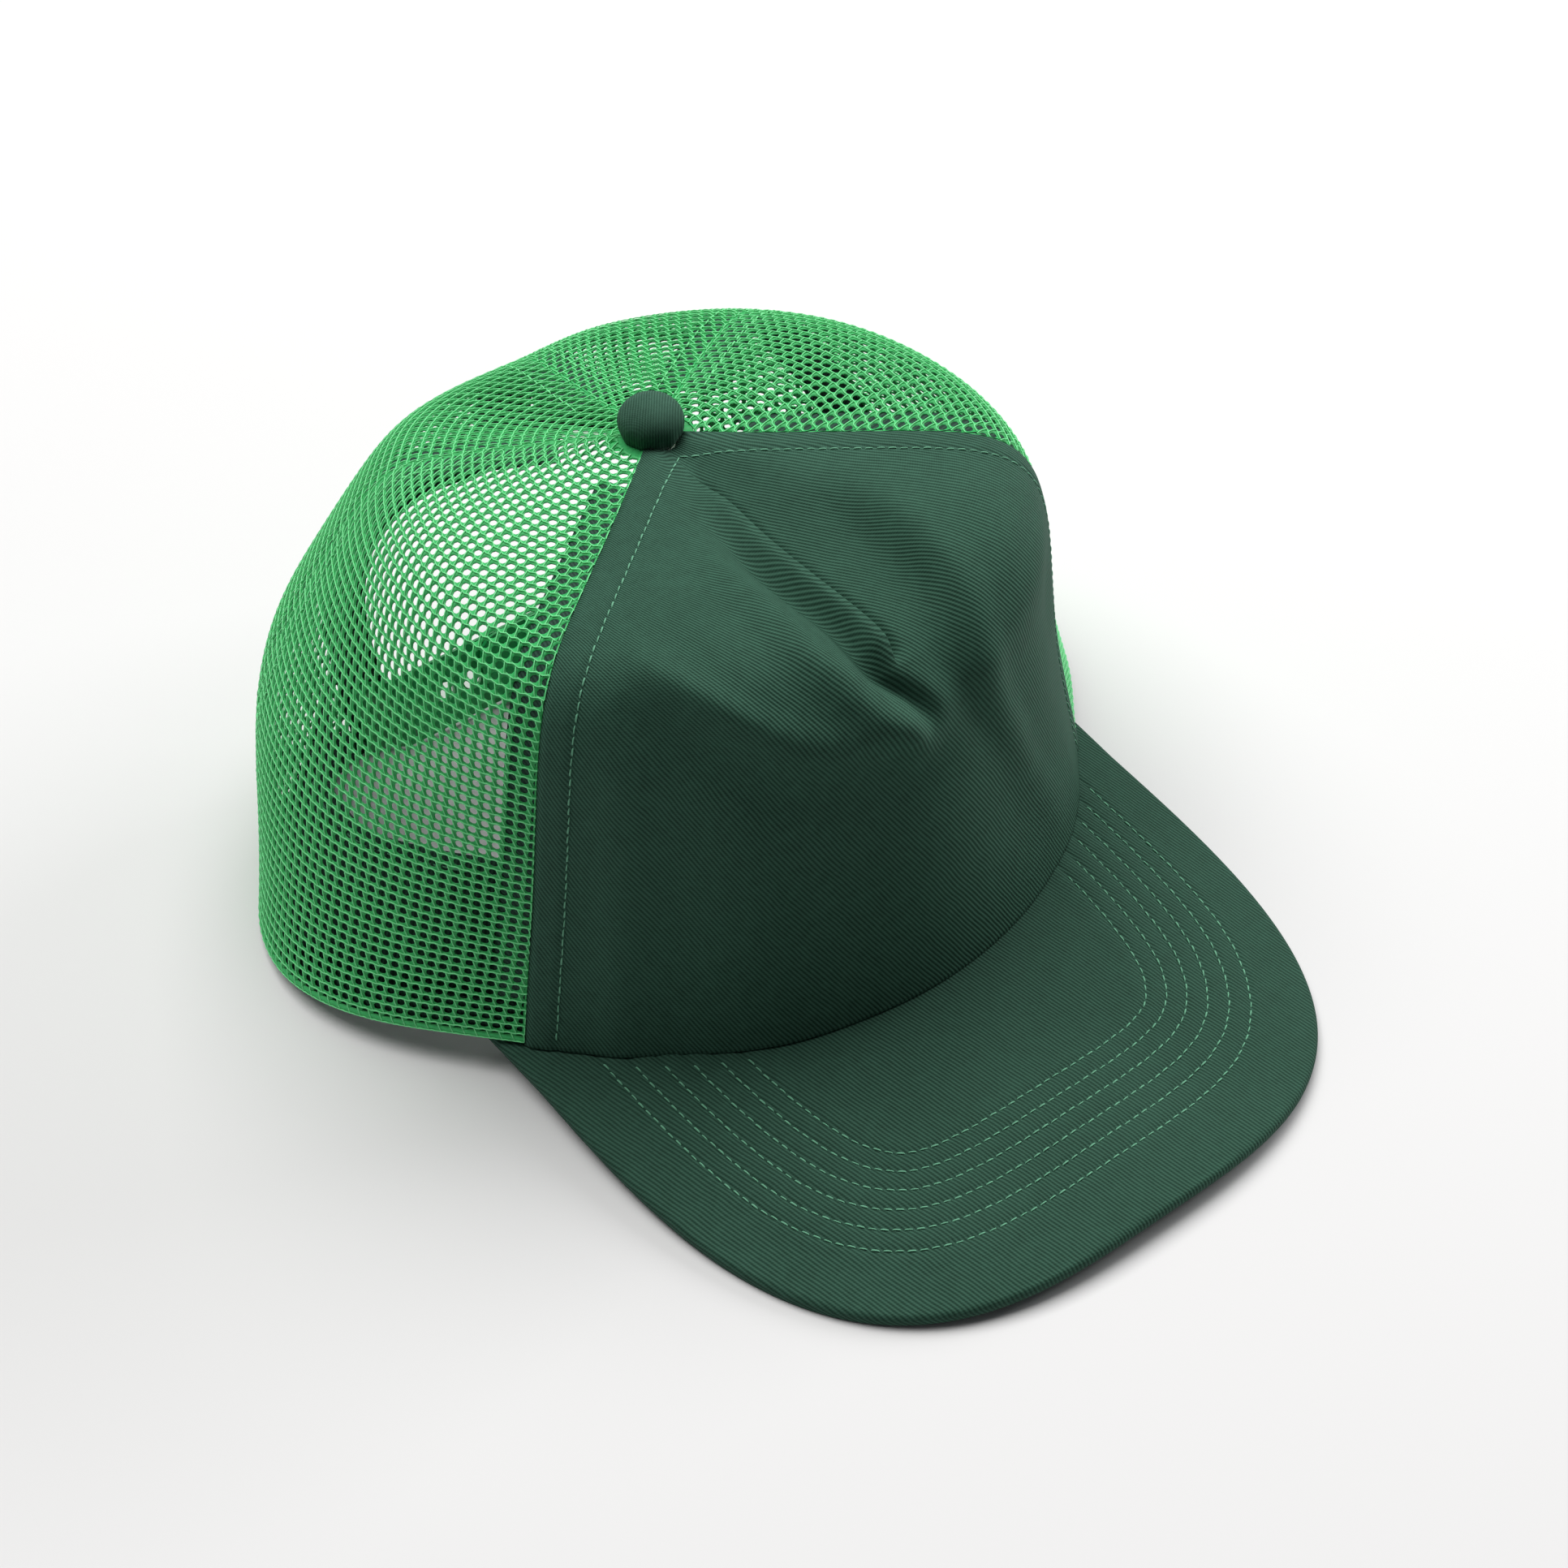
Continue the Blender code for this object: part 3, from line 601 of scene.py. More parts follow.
def loose_folds(x, along):
    """Valley and ridge that run forward beside the dart, and the pair on its other side."""
    valley_x = -8.5 + 3.5 * smooth(45, 75, along) + 8.0 * smooth(84, 102, along)
    valley = fold(x, along, -3.6, (24, 66), (97, 107), valley_x, 3.1)
    ridge_x = -14 - 3.5 * smooth(35, 52, along) + 5 * smooth(76, 92, along) + 13 * smooth(88, 108, along)
    ridge = fold(x, along, 2.9, (24, 66), (102, 113), ridge_x, 5.5)
    far_x = 24.5 - 3 * bell(along, 92, 10) + 26 * smooth(98, 142, along)
    far_width = 5.5 + 5 * smooth(90, 130, along)
    far_ridge = fold(x, along, 1.7, (40, 66), (112, 150), far_x, far_width)
    far_valley = fold(x, along, -1.7, (34, 56), (96, 122), far_x - 9, 5.5)
    return valley + ridge + far_ridge + far_valley


def front_folds(point, theta, level):
    """Height in millimetres of the front panel's dart and folds over the plain crown."""
    x, z = point[..., 0], point[..., 2]
    along = forward_run(point)
    turn_over = SHOULDER_LEVEL + 0.19 * smooth(-14, -44, theta)
    fullness = 0.35 + 0.65 * smooth(10, -6, theta)
    crest, hollow = bell(level, turn_over + 0.06, 0.05), bell(level, turn_over - 0.07, 0.075)
    shoulder = fullness * (2.0 * crest - 2.4 * hollow)
    waves = bell(theta, -43, 4.0) - bell(theta, -34, 5.5) + 0.7 * bell(theta, -20, 7.0)
    upright = 1.1 * smooth(100, 82, z) * waves
    soft = 0.7 * np.sin(x / 9.0 + 0.6) * np.sin(along / 17.0) * smooth(12, 40, along)
    soft = soft * (1 - smooth(120, 150, along))
    return dart_relief(x, along) + loose_folds(x, along) + shoulder + upright + soft


def front_grid():
    """Angles and levels of the front panel's points, whose middle columns follow the crease."""
    share = np.linspace(-1, 1, FRONT_COLUMNS)
    share = np.sign(share) * np.abs(share) ** FRONT_CROWDING
    t = np.linspace(0, TOP_T, FRONT_ROWS)
    middle = crown_face(np.zeros(FRONT_ROWS), t)
    reach = np.clip(crease_x(forward_run(middle)) / -middle[:, 1], -0.4, 0.4)
    bend = np.degrees(np.arcsin(reach))
    half = seam_angle(FRONT_SEAM, t)
    theta = share * half[:, None] + bend[:, None] * (1 - np.abs(share)) ** 3
    return theta, np.broadcast_to(t[:, None], theta.shape)


def front_panel():
    """The front panel's cloth, and the area in square metres of the plain crown under it."""
    theta, level = front_grid()
    plain, normal = crown_face(theta, level), crown_normal(theta, level)
    run = lengths(plain)
    edge = np.minimum(run, run[:, -1:] - run)
    allowance = 0.25 * smooth(0.4, 2.0, edge) * (1 - smooth(5.5, 7.2, edge))
    seam = allowance - 0.45 * (1 - smooth(0, 1.2, edge)) - 0.18 * bell(edge, TOPSTITCH_OFFSET, 0.6)
    height = front_folds(plain, theta, level) * smooth(10, 26, edge) + seam * smooth(1.0, 0.93, level)
    point = plain + normal * height[..., None]
    along = forward_run(plain)
    lip = bell(plain[..., 0] - crease_x(along), -0.35, 0.5)
    point[..., 0] += LIP_REACH * dart_share(along) * lip
    outward = unit(point[0] * (1, 1, 0))
    hem = [point[0] + outward * out + (0, 0, drop) for out, drop in HEM_TUCKS]
    point = np.concatenate((np.array(hem), point))
    across = run - run[:, FRONT_COLUMNS // 2, None]
    upward = lengths(plain.transpose(1, 0, 2)).T
    uv = np.stack((across, upward), axis=-1)
    uv = np.concatenate([uv[:1] - (0, gap) for gap in HEM_RUNS] + [uv])
    piece = add_piece("front_panel_cloth", point, grid_quads(*point.shape[:2]), front_twill,
                      uv=uv, stands_for=("front_panel",))
    thicken(piece, FRONT_THICKNESS)
    facets = np.cross(np.diff(plain, axis=0)[:, :-1], np.diff(plain, axis=1)[:-1])
    return piece, float(np.linalg.norm(facets, axis=-1).sum()) * MM * MM


front_cloth, front_area = front_panel()


# ---- mesh panels

class PanelMap:
    """Cloth coordinates of a crown panel: u across and v up, in millimetres from its middle line."""

    STEPS = 64
    ROWS = 300

    def __init__(self, first, second):
        self.t = np.linspace(0.0, TOP_T, self.ROWS)
        start, end = seam_angle(first, self.t), seam_angle(second, self.t)
        self.start, self.span = start, end - start
        share = np.linspace(0, 1, self.STEPS + 1)
        theta = self.start[:, None] + self.span[:, None] * share
        point = crown_face(theta, np.broadcast_to(self.t[:, None], theta.shape))
        run = lengths(point)
        middle = run[:, self.STEPS // 2]
        self.low, self.high = -middle, run[:, -1] - middle
        self.share = np.array([np.interp(share * r[-1], r, share) for r in run])
        self.v = lengths(point[:, self.STEPS // 2])

    def row_value(self, values, v):
        return np.interp(v, self.v, values)

    def inside(self, u, v, slack=0.0):
        low, high = self.row_value(self.low, v), self.row_value(self.high, v)
        return (u >= low - slack) & (u <= high + slack) & (v >= -slack) & (v <= self.v[-1])

    def place(self, u, v, rise):
        """Points and normals at cloth coordinates, raised over the mesh's outer face."""
        v = np.clip(v, 0, self.v[-1])
        low, high = self.row_value(self.low, v), self.row_value(self.high, v)
        w = np.clip((u - low) / np.maximum(high - low, 1e-6), 0, 1)
        row = np.clip(np.interp(v, self.v, np.arange(self.ROWS)), 0, self.ROWS - 1.001)
        j, step = row.astype(int), np.clip(w * self.STEPS, 0, self.STEPS - 1e-6)
        k = step.astype(int)
        up, over = row - j, step - k
        s = ((self.share[j, k] * (1 - over) + self.share[j, k + 1] * over) * (1 - up)
             + (self.share[j + 1, k] * (1 - over) + self.share[j + 1, k + 1] * over) * up)
        t = np.interp(v, self.v, self.t)
        theta = np.interp(v, self.v, self.start) + np.interp(v, self.v, self.span) * s
        normal = crown_normal(theta, t)
        return crown_face(theta, t) + normal * np.asarray(rise)[..., None], normal


def opening_share(point):
    """1 on the rear opening's outline, less inside it, more outside."""
    x, y, z = point[..., 0], point[..., 1], point[..., 2]
    up = np.maximum(z - OPENING_SPRING, 0.0) / (OPENING_HEIGHT - OPENING_SPRING)
    share = (np.abs(x / OPENING_HALF_WIDTH) ** OPENING_SHAPE + up ** OPENING_SHAPE) ** (1 / OPENING_SHAPE)
    return np.where(y > 0, share, 9.0)


def out_of_opening(point):
    """Points inside the rear opening, moved out to its edge."""
    share = np.maximum(opening_share(point), 0.05)
    pushed = point.copy()
    scale = np.where(share < 1, 1 / share, 1.0)
    pushed[..., 0] = point[..., 0] * scale
    pushed[..., 2] = np.where(point[..., 2] > OPENING_SPRING,
                              OPENING_SPRING + (point[..., 2] - OPENING_SPRING) * scale, point[..., 2])
    return pushed


def knit_cells(panel):
    """Centres of the mesh's holes that lie in the panel, in cloth coordinates."""
    reach = max(-panel.low.min(), panel.high.max())
    across = np.arange(-int(reach / KNIT_ACROSS) - 1, int(reach / KNIT_ACROSS) + 2) * KNIT_ACROSS
    upward = (np.arange(int(panel.v[-1] / KNIT_UP)) + 0.5) * KNIT_UP
    u, v = np.meshgrid(across, upward)
    u, v = u.ravel(), v.ravel()
    kept = panel.inside(u, v, 0.3 * KNIT_ACROSS)
    u, v = u[kept], v[kept]
    centre = panel.place(u, v, np.zeros(u.shape))[0]
    kept = (opening_share(centre) > 0.995) & (np.hypot(centre[:, 0], centre[:, 1]) > BARE_CENTRE)
    return u[kept], v[kept]


def knit_web(panel, u, v):
    """Perforated ground of the mesh: a ring of quads round each hole, with thickness."""
    corner = np.array(((1, 0), (1, 1), (0, 1), (-1, 1), (-1, 0), (-1, -1), (0, -1), (1, -1)), float)
    diagonal = np.abs(corner).sum(axis=1, keepdims=True) > 1
    hole = corner * np.where(diagonal, 0.74, 1.0) * (HOLE_ACROSS, HOLE_UP)
    rim = corner * (0.5 * KNIT_ACROSS, 0.5 * KNIT_UP)
    waver = 0.12 * np.sin(u * 1.7 + v * 2.3)[:, None]
    crest = np.where(np.abs(corner[:, 1]) < 0.5, 0.14, 0.0)
    level = np.zeros(len(corner))
    rings = []
    for shape, rise in ((rim, crest - 0.40), (hole, level - 0.46), (hole * 1.04, level - 0.74),
                        (rim, level - 0.70)):
        pu = u[:, None] + shape[:, 0] + (waver if shape is not rim else 0)
        pv = v[:, None] + shape[:, 1]
        point = panel.place(pu, pv, np.broadcast_to(rise, pu.shape))[0]
        rings.append(out_of_opening(point))
    points = np.stack(rings, axis=1)
    index = np.arange(points[..., 0].size).reshape(points.shape[:3])
    a, b = index[:, :-1], index[:, 1:]
    quads = np.stack((a, np.roll(a, -1, axis=2), np.roll(b, -1, axis=2), b), axis=-1)
    return points.reshape(-1, 3), quads.reshape(-1, 4)


def knit_threads(panel, u, v):
    """Threads of the mesh, in the lighter yarn colour that paints light on them: one wavy run along each
    row and one slant over each pillar.
    """
    steps = np.linspace(-0.5, 0.5, 5)
    wave = np.cos(2 * pi * steps)
    pu = u[:, None] + steps * KNIT_ACROSS
    pv = v[:, None] - 0.5 * KNIT_UP + 0.20 * wave
    runs = thread_run(panel, pu, pv, -0.16 + 0.12 * wave, THREAD)
    slant = np.linspace(0, 1, 5)
    arch = np.sin(pi * slant)
    pu = u[:, None] + 0.5 * KNIT_ACROSS - 0.75 + 1.35 * slant
    pv = v[:, None] + 0.5 * KNIT_UP - KNIT_UP * slant + 0.25 * arch
    slants = thread_run(panel, pu, pv, -0.26 + 0.22 * arch, THREAD * 0.85)
    return joined((runs, slants))


def thread_run(panel, pu, pv, rise, radius):
    """Threads through the given cloth coordinates, left out past the panel's edges."""
    point, normal = panel.place(pu, pv, np.broadcast_to(rise, pu.shape))
    valid = panel.inside(pu, pv, 0.35 * KNIT_ACROSS) & (opening_share(point) > 0.99)
    size = np.full(pu.shape, radius)
    return tubes(point, normal, valid, size, size)


def edge_band(theta, t, inward, width, rise):
    """Folded edge of the mesh: a raised strip along a line on the crown, as (points, quads)."""
    point, normal = crown_face(theta, t), crown_normal(theta, t)
    along = unit(np.gradient(point, axis=0))
    aside = unit(np.cross(normal, along)) * inward
    profile = ((0.0, -0.75), (-0.1, -0.65), (0.15, rise), (width * 0.5, rise + 0.05), (width - 0.2, rise),
               (width, -0.7))
    rows = [point + aside * offset + normal * lift for offset, lift in profile]
    return np.array(rows).reshape(-1, 3), grid_quads(len(rows), len(point))


def mesh_panel(first, second, node):
    """Web, folded edges and threads of one mesh panel between two seams."""
    panel = PanelMap(first, second)
    u, v = knit_cells(panel)
    web = [knit_web(panel, u, v)]
    t = np.linspace(0.0, TOP_T, 160)
    for seam, inward in ((first, -1.0), (second, 1.0)):
        rise = -0.55 if abs(seam[0]) == FRONT_SEAM[0] else -0.34
        theta = seam_angle(seam, t)
        kept = opening_share(crown_face(theta, t)) > 1.0
        web.append(edge_band(theta[kept], t[kept], inward, 0.7, rise))
    turn = np.linspace(first[0], second[0], 140)
    low = np.zeros(turn.shape)
    kept = opening_share(crown_face(turn, low)) > 1.0
    web.append(edge_band(turn[kept], low[kept], 1.0, 1.4, -0.2))
    threads = [knit_threads(panel, u, v)]
    # The web gets the darker yarn colour (painted shade) and the threads the lighter one (painted light).
    for name, parts, yarn in (("_web", web, shaded_web_yarn), ("_threads", threads, lit_thread_yarn)):
        points, quads = joined(parts)
        points[:, 2] = np.maximum(points[:, 2], FLOOR_GAP)
        add_piece(node + name, points, quads, yarn, stands_for=(node,))


def crown_centre():
    """Seam allowances of the mesh panels, gathered under the button."""
    theta = np.linspace(FRONT_SEAM[1], 360 - FRONT_SEAM[1], 120)
    rows = []
    uneven = 1 + 0.05 * np.sin(np.radians(theta) * 23)
    depth = 0.72 + 0.05 * np.sin(np.radians(theta) * 31)
    for radius in (3.0, 5.0, 7.0, 8.5, 9.5, 10.0):
        level = level_where(theta, lambda r, z: r <= radius * uneven)
        rows.append(crown_point(theta, level, depth))
    add_piece("mesh_centre", np.array(rows), grid_quads(len(rows), len(theta)), shaded_web_yarn,
              stands_for=("mesh_back_left",))


mesh_panel(FRONT_SEAM, SIDE_SEAM, "mesh_side_left")
mesh_panel(SIDE_SEAM, BACK_SEAM, "mesh_back_left")
mesh_panel(mirrored(SIDE_SEAM), mirrored(FRONT_SEAM), "mesh_side_right")
mesh_panel(mirrored(BACK_SEAM), mirrored(SIDE_SEAM), "mesh_back_right")
crown_centre()


# ---- linings

def lining(name, rows_theta, rows_t, depth, thickness, material, stands_for, puff):
    """Cloth strip from a grid of crown angles and levels at a depth, crowned across its width."""
    theta, t = np.asarray(rows_theta, float), np.asarray(rows_t, float)
    depth = np.broadcast_to(np.asarray(depth, float), theta.shape)
    across = np.linspace(-1, 1, theta.shape[0])[:, None]
    point = crown_point(theta, t, depth - puff * (1 - across ** 4))
    run = lengths(point)
    up = lengths(point.transpose(1, 0, 2)).T
    uv = np.stack((run, up), axis=-1)
    piece = add_piece(name, point, grid_quads(*theta.shape), material, uv=uv,
                      stands_for=stands_for)
    return thicken(piece, thickness), point


def level_in_to(angle, reach):
    """Level at which the crown has come in to a distance from the button's axis."""
    return float(level_where(np.array(angle), lambda radius, z: radius <= reach))


def seam_tape(label, side, seam):
    lowest = rim_height(np.array(float(seam[0]))) + HEM_HEIGHT + 1.3
    if seam is BACK_SEAM:
        lowest = OPENING_HEIGHT + BINDING_WIDTH + 0.6
    foot = float(level_at_height(np.array(float(side * seam[0])), lowest))
    t = np.linspace(foot, level_in_to(side * seam_angle(seam, 0.9), TAPE_TOP_RADIUS), 120)
    middle = side * seam_angle(seam, t)
    half = np.degrees(0.5 * TAPE_WIDTH / crown_profile(middle, t)[0])
    share = np.linspace(-1, 1, 13)[:, None]
    theta = middle + half * share
    name, level = "seam_tape_" + label, np.broadcast_to(t, theta.shape)
    lining(name + "_cloth", theta, level, TAPE_DEPTH, TAPE_THICKNESS, tape_twill, (name,), puff=0.25)
    lines = []
    for offset in (-TAPE_STITCH_SHARE, TAPE_STITCH_SHARE):
        angle = middle + half * offset
        lines.append((crown_point(angle, t, TAPE_DEPTH + TAPE_THICKNESS + 0.05), -crown_normal(angle, t)))
    stitches(name + "_stitch", lines, stitch_yarn, radius=0.2)


for label, side in (("left", 1), ("right", -1)):
    seam_tape("front_" + label, side, FRONT_SEAM)
    seam_tape("side_" + label, side, SIDE_SEAM)
seam_tape("back", 1, BACK_SEAM)


def hem_tape():
    theta = np.linspace(-HEM_END, HEM_END, 420)
    low = rim_height(theta)
    rows = [level_at_height(theta, low + max(step * HEM_HEIGHT, 0.45)) for step in np.linspace(0, 1, 9)]
    angle = np.broadcast_to(theta, (9, len(theta)))
    lining("hem_tape_cloth", angle, rows, TAPE_DEPTH, HEM_THICKNESS, tape_twill, ("hem_tape",), puff=0.2)


def sweatband():
    theta = np.linspace(-SWEATBAND_END, SWEATBAND_END, 520)
    low = rim_height(theta)
    rows, depths = [], []
    for step in np.linspace(0, 1, 25):
        rows.append(level_at_height(theta, low + SWEATBAND_RAISE + step * SWEATBAND_HEIGHT))
        slack = 0.5 * step * np.sin(theta / 7.0) + 0.35 * step * np.sin(theta / 3.1 + 1.0)
        channel = -0.5 * bell(step, 0.90, 0.02)
        depths.append(SWEATBAND_DEPTH + SWEATBAND_LEAN * step ** 1.3 + slack * (step > 0.2) + channel)
    angle = np.broadcast_to(theta, (len(rows), len(theta)))
    piece, point = lining("sweatband_cloth", angle, rows, np.array(depths), SWEATBAND_THICKNESS,
                          band_twill, ("sweatband",), puff=0.3)
    normal = crown_normal(angle, np.array(rows))
    inner = [(point[k] - normal[k] * (SWEATBAND_THICKNESS + 0.1), -normal[k]) for k in (3, 22)]
    outer = [(point[22] + normal[22] * 0.1, normal[22])]
    stitches("sweatband_stitch", inner + outer, stitch_yarn, radius=0.22)


def opening_line(offset):
    """Line round the rear opening at an offset outwards, as crown angles and levels."""
    turn = np.linspace(pi, 0, 160)
    width, rise = OPENING_HALF_WIDTH + offset, OPENING_HEIGHT - OPENING_SPRING + offset
    c, s = np.cos(turn), np.sin(turn)
    x = width * np.abs(c) ** (2 / OPENING_SHAPE) * np.sign(c)
    z = OPENING_SPRING + rise * np.abs(s) ** (2 / OPENING_SHAPE)
    legs = np.linspace(0.5, OPENING_SPRING, 14)[:-1]
    x = np.concatenate((np.full(len(legs), -width), x, np.full(len(legs), width)))
    z = np.concatenate((legs, z, legs[::-1]))
    return wall_angle(x, z)


def opening_binding():
    lines = [opening_line(0.3 + share * BINDING_WIDTH) for share in np.linspace(0, 1, 11)]
    theta = np.array([line[0] % 360 for line in lines])
    t = np.array([line[1] for line in lines])
    lining("opening_binding_cloth", theta, t, TAPE_DEPTH, BINDING_THICKNESS, tape_twill,
           ("opening_binding",), puff=0.25)
    outer, inner = [], []
    for k in (2, 8):
        normal = crown_normal(theta[k], t[k])
        outer.append((crown_point(theta[k], t[k], -0.05), normal))
        inner.append((crown_point(theta[k], t[k], TAPE_DEPTH + BINDING_THICKNESS + 0.1), -normal))
    stitches("opening_stitch", outer + inner, stitch_yarn, radius=0.22)


def opening_edge():
    """Mesh turned in over the binding, round the rear opening."""
    rows = []
    for offset, depth in ((0.0, 1.9), (-0.25, 1.0), (0.0, 0.1), (0.8, 0.0), (2.2, 0.02), (3.0, 0.4)):
        theta, t = opening_line(offset)
        rows.append(crown_point(theta % 360, t, depth))
    points = np.array(rows)
    add_piece("opening_edge", points, grid_quads(*points.shape[:2]), shaded_web_yarn,
              stands_for=("opening_binding",))


hem_tape()
sweatband()
opening_binding()
opening_edge()


# ---- seams on the crown

def beside_seam(side, seam, offset, lift, low=0.004, closest=20.0):
    """Line at an offset in millimetres from a seam, towards the front for a positive offset.

    It stops at the closest distance from the button's axis."""
    t = np.linspace(low, level_in_to(side * seam_angle(seam, 0.95), closest), 260)
    middle = side * seam_angle(seam, t)
    radius = crown_profile(middle, t)[0]
    theta = middle - side * np.degrees(np.arcsin(np.clip(offset / radius, -0.95, 0.95)))
    normal = crown_normal(theta, t)
    return crown_face(theta, t) + normal * lift, normal


def crown_stitching():
    offsets = (-MESH_STITCH_OFFSET, MESH_STITCH_OFFSET)
    for label, side in (("left", 1), ("right", -1)):
        line = beside_seam(side, FRONT_SEAM, TOPSTITCH_OFFSET, 0.05, closest=8.6)
        stitches("front_topstitch_" + label, [line], stitch_yarn)
        lines = [beside_seam(side, SIDE_SEAM, offset, -0.12) for offset in offsets]
        stitches("side_seam_stitch_" + label, lines, lit_thread_yarn, radius=0.18)
    start = float(level_where(np.array(180.0), lambda radius, z: z >= OPENING_HEIGHT + 4))
    lines = [beside_seam(1, BACK_SEAM, offset, -0.12, low=start) for offset in offsets]
    stitches("back_seam_stitch", lines, lit_thread_yarn, radius=0.18)


crown_stitching()


# ---- brim

def brim_edge(count, inset=0.0):
    """Evenly spaced points of the brim's outer edge, moved inwards by an inset."""
    s = np.linspace(0, 1, 1200)
    straight = s < BRIM_STRAIGHT_SHARE
    share = s / BRIM_STRAIGHT_SHARE
    turn = 0.5 * pi * np.clip((s - BRIM_STRAIGHT_SHARE) / (1 - BRIM_STRAIGHT_SHARE), 0, 1)
    c, d = np.clip(np.cos(turn), 0, 1), np.clip(np.sin(turn), 0, 1)
    x = np.where(straight, BRIM_END_X + (BRIM_HALF_WIDTH - BRIM_END_X) * share,
                 BRIM_HALF_WIDTH * c ** (2 / BRIM_SHAPE))
    y = np.where(straight, BRIM_END_Y + (BRIM_CORNER_Y - BRIM_END_Y) * share,
                 BRIM_CORNER_Y + (BRIM_FRONT_Y - BRIM_CORNER_Y) * d ** (2 / BRIM_SHAPE))
    line = np.stack((np.concatenate((-x, x[-2::-1])), np.concatenate((y, y[-2::-1]))), axis=-1)
    run = lengths(line)
    at = np.linspace(0, run[-1], count)
    line = np.stack([np.interp(at, run, line[:, k]) for k in (0, 1)], axis=-1)
    along = unit(np.gradient(line, axis=0))
    inward = np.stack((-along[:, 1], along[:, 0]), axis=-1)
    return line + inward * inset


def seam_edge(count):
    """The covers' inner edge, hidden inside the crown."""
    theta = np.linspace(-BRIM_END_ANGLE, BRIM_END_ANGLE, count)
    turn = np.radians(theta)
    radius = station(RIM_RADIUS, theta) - BRIM_SEAM_MARGIN
    return np.stack((radius * np.sin(turn), -radius * np.cos(turn)), axis=-1)


def brim_surface(xy, lift):
    """Points at a height over the board's underside."""
    z = brim_underside(xy[..., 0], xy[..., 1]) + lift
    return np.concatenate((xy, z[..., None]), axis=-1)


def row_inset(inset, y):
    """Inset of a row of stitches, which draws away from the edge towards the brim's front."""
    return inset + (2.6 + 0.15 * (inset - BRIM_STITCH_INSETS[0])) * smooth(-125, -172, y)


def stitch_line(inset):
    """Sewn line that follows the brim's edge, cut off where the crown covers it."""
    line = brim_edge(700, inset)
    for _ in range(4):
        line = brim_edge(700, row_inset(inset, line[:, 1])[:, None])
    theta = np.degrees(np.arctan2(line[:, 0], -line[:, 1]))
    clear = np.hypot(line[:, 0], line[:, 1]) > station(RIM_RADIUS, theta) + 1.5
    clear &= np.abs(theta) < BRIM_END_ANGLE + 2
    return line[clear]


def brim_cloth(name, lift, side, stands_for):
    """One cover of the brim, with shallow channels along its rows of stitches."""
    columns, rows = 420, 120
    edge_inset = BRIM_ROLL if side > 0 else BRIM_COVER + 0.3
    outer, inner = brim_edge(columns, edge_inset), seam_edge(columns)
    share = np.linspace(0, 1, rows)[:, None, None]
    xy = inner + (outer - inner) * share
    edge = brim_edge(columns)
    gap = np.min(np.linalg.norm(xy[:, :, None, :] - edge[None, None, ::4], axis=-1), axis=2)
    rows_at = [row_inset(inset, xy[..., 1]) for inset in BRIM_STITCH_INSETS]
    channels = sum(bell(gap, row, CHANNEL_WIDTH) for row in rows_at)
    swell = 0.16 * smooth(10, 14, gap) * (1 - smooth(41, 46, gap))
    ripple = 0.12 * np.sin(xy[..., 0] / 7) * np.sin(xy[..., 1] / 9)
    height = lift + side * (swell - CHANNEL_DEPTH * channels + ripple)
    points, flat = brim_surface(xy, height), xy
    if side > 0:
        turns = np.radians(np.linspace(15, 90, 6))
        roll = [(BRIM_ROLL * (1 - sin(turn)), -BRIM_ROLL * (1 - cos(turn))) for turn in turns]
        roll += [(0.02, -1.8), (0.1, -2.5)]
        rim = [brim_surface(brim_edge(columns, inset), lift + drop) for inset, drop in roll]
        points = np.concatenate((points, np.array(rim)))
        round_edge = lengths(np.array([(BRIM_ROLL, 0.0)] + roll))[1:]
        flat = np.concatenate((xy, [brim_edge(columns, BRIM_ROLL - step) for step in round_edge]))
    quads = grid_quads(*points.shape[:2])
    if side > 0:
        quads = quads[:, ::-1]
    piece = add_piece(name, points, quads, brim_shaded_twill, uv=flat, stands_for=stands_for)
    thicken(piece, BRIM_COVER)


def brim():
    brim_cloth("brim_top_cloth", BRIM_THICKNESS, 1, ("brim_top_cover",))
    brim_cloth("brim_under_cloth", 0.0, -1, ("brim_under_cover",))
    top, under = BRIM_THICKNESS - 0.05, 0.05
    for name, lift, up in (("brim_stitch_top", top, 1.0), ("brim_stitch_under", under, -1.0)):
        lines = []
        for inset in BRIM_STITCH_INSETS:
            xy = stitch_line(inset)
            points = brim_surface(xy, np.full(len(xy), lift))
            lines.append((points, np.tile((0.0, 0.0, up), (len(xy), 1))))
        stitches(name, lines, stitch_yarn)


brim()


# ---- button

def button():
    """Cloth stretched over the button, with the small tucks gathered under its edge."""
    low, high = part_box("button_cover")
    centre = (low + high) / 2
    base, height = low.z / MM, (high.z - low.z) / MM
    radius = BUTTON_SWELL * (high.x - low.x) / 2 / MM
    turn = np.linspace(0, 2 * pi, 96, endpoint=False)
    rise = np.linspace(0.5 * pi, 0, 26)
    skirt = 0.28 * height
    profile = [(radius * cos(a), skirt + (height - skirt) * sin(a)) for a in rise]
    profile += [(radius * 0.99, skirt * 0.5), (radius * 0.96, 0.0)]
    profile += [(radius * 0.92, -0.9), (radius * 0.86, -1.8)]
    gathers = 1 + np.cos(turn * BUTTON_TUCKS + 0.8 * np.sin(turn * 3))
    rows = []
    for r, z in profile:
        depth = smooth(0.5, 0.0, z / height) * 0.16
        tuck = 1 - depth / radius * gathers
        x = r * tuck * np.cos(turn) + centre.x / MM
        y = r * tuck * np.sin(turn) + centre.y / MM
        rows.append(np.stack((x, y, np.full(turn.shape, base + z)), axis=-1))
    points = np.array(rows)
    quads = grid_quads(len(rows), len(turn), closed=True)[:, ::-1]
    piece = add_piece("button_cloth", points, quads, button_twill, uv=points[..., :2],
                      stands_for=("button_cover",))
    thicken(piece, BUTTON_CLOTH)


button()


# ---- carried-over CAD parts

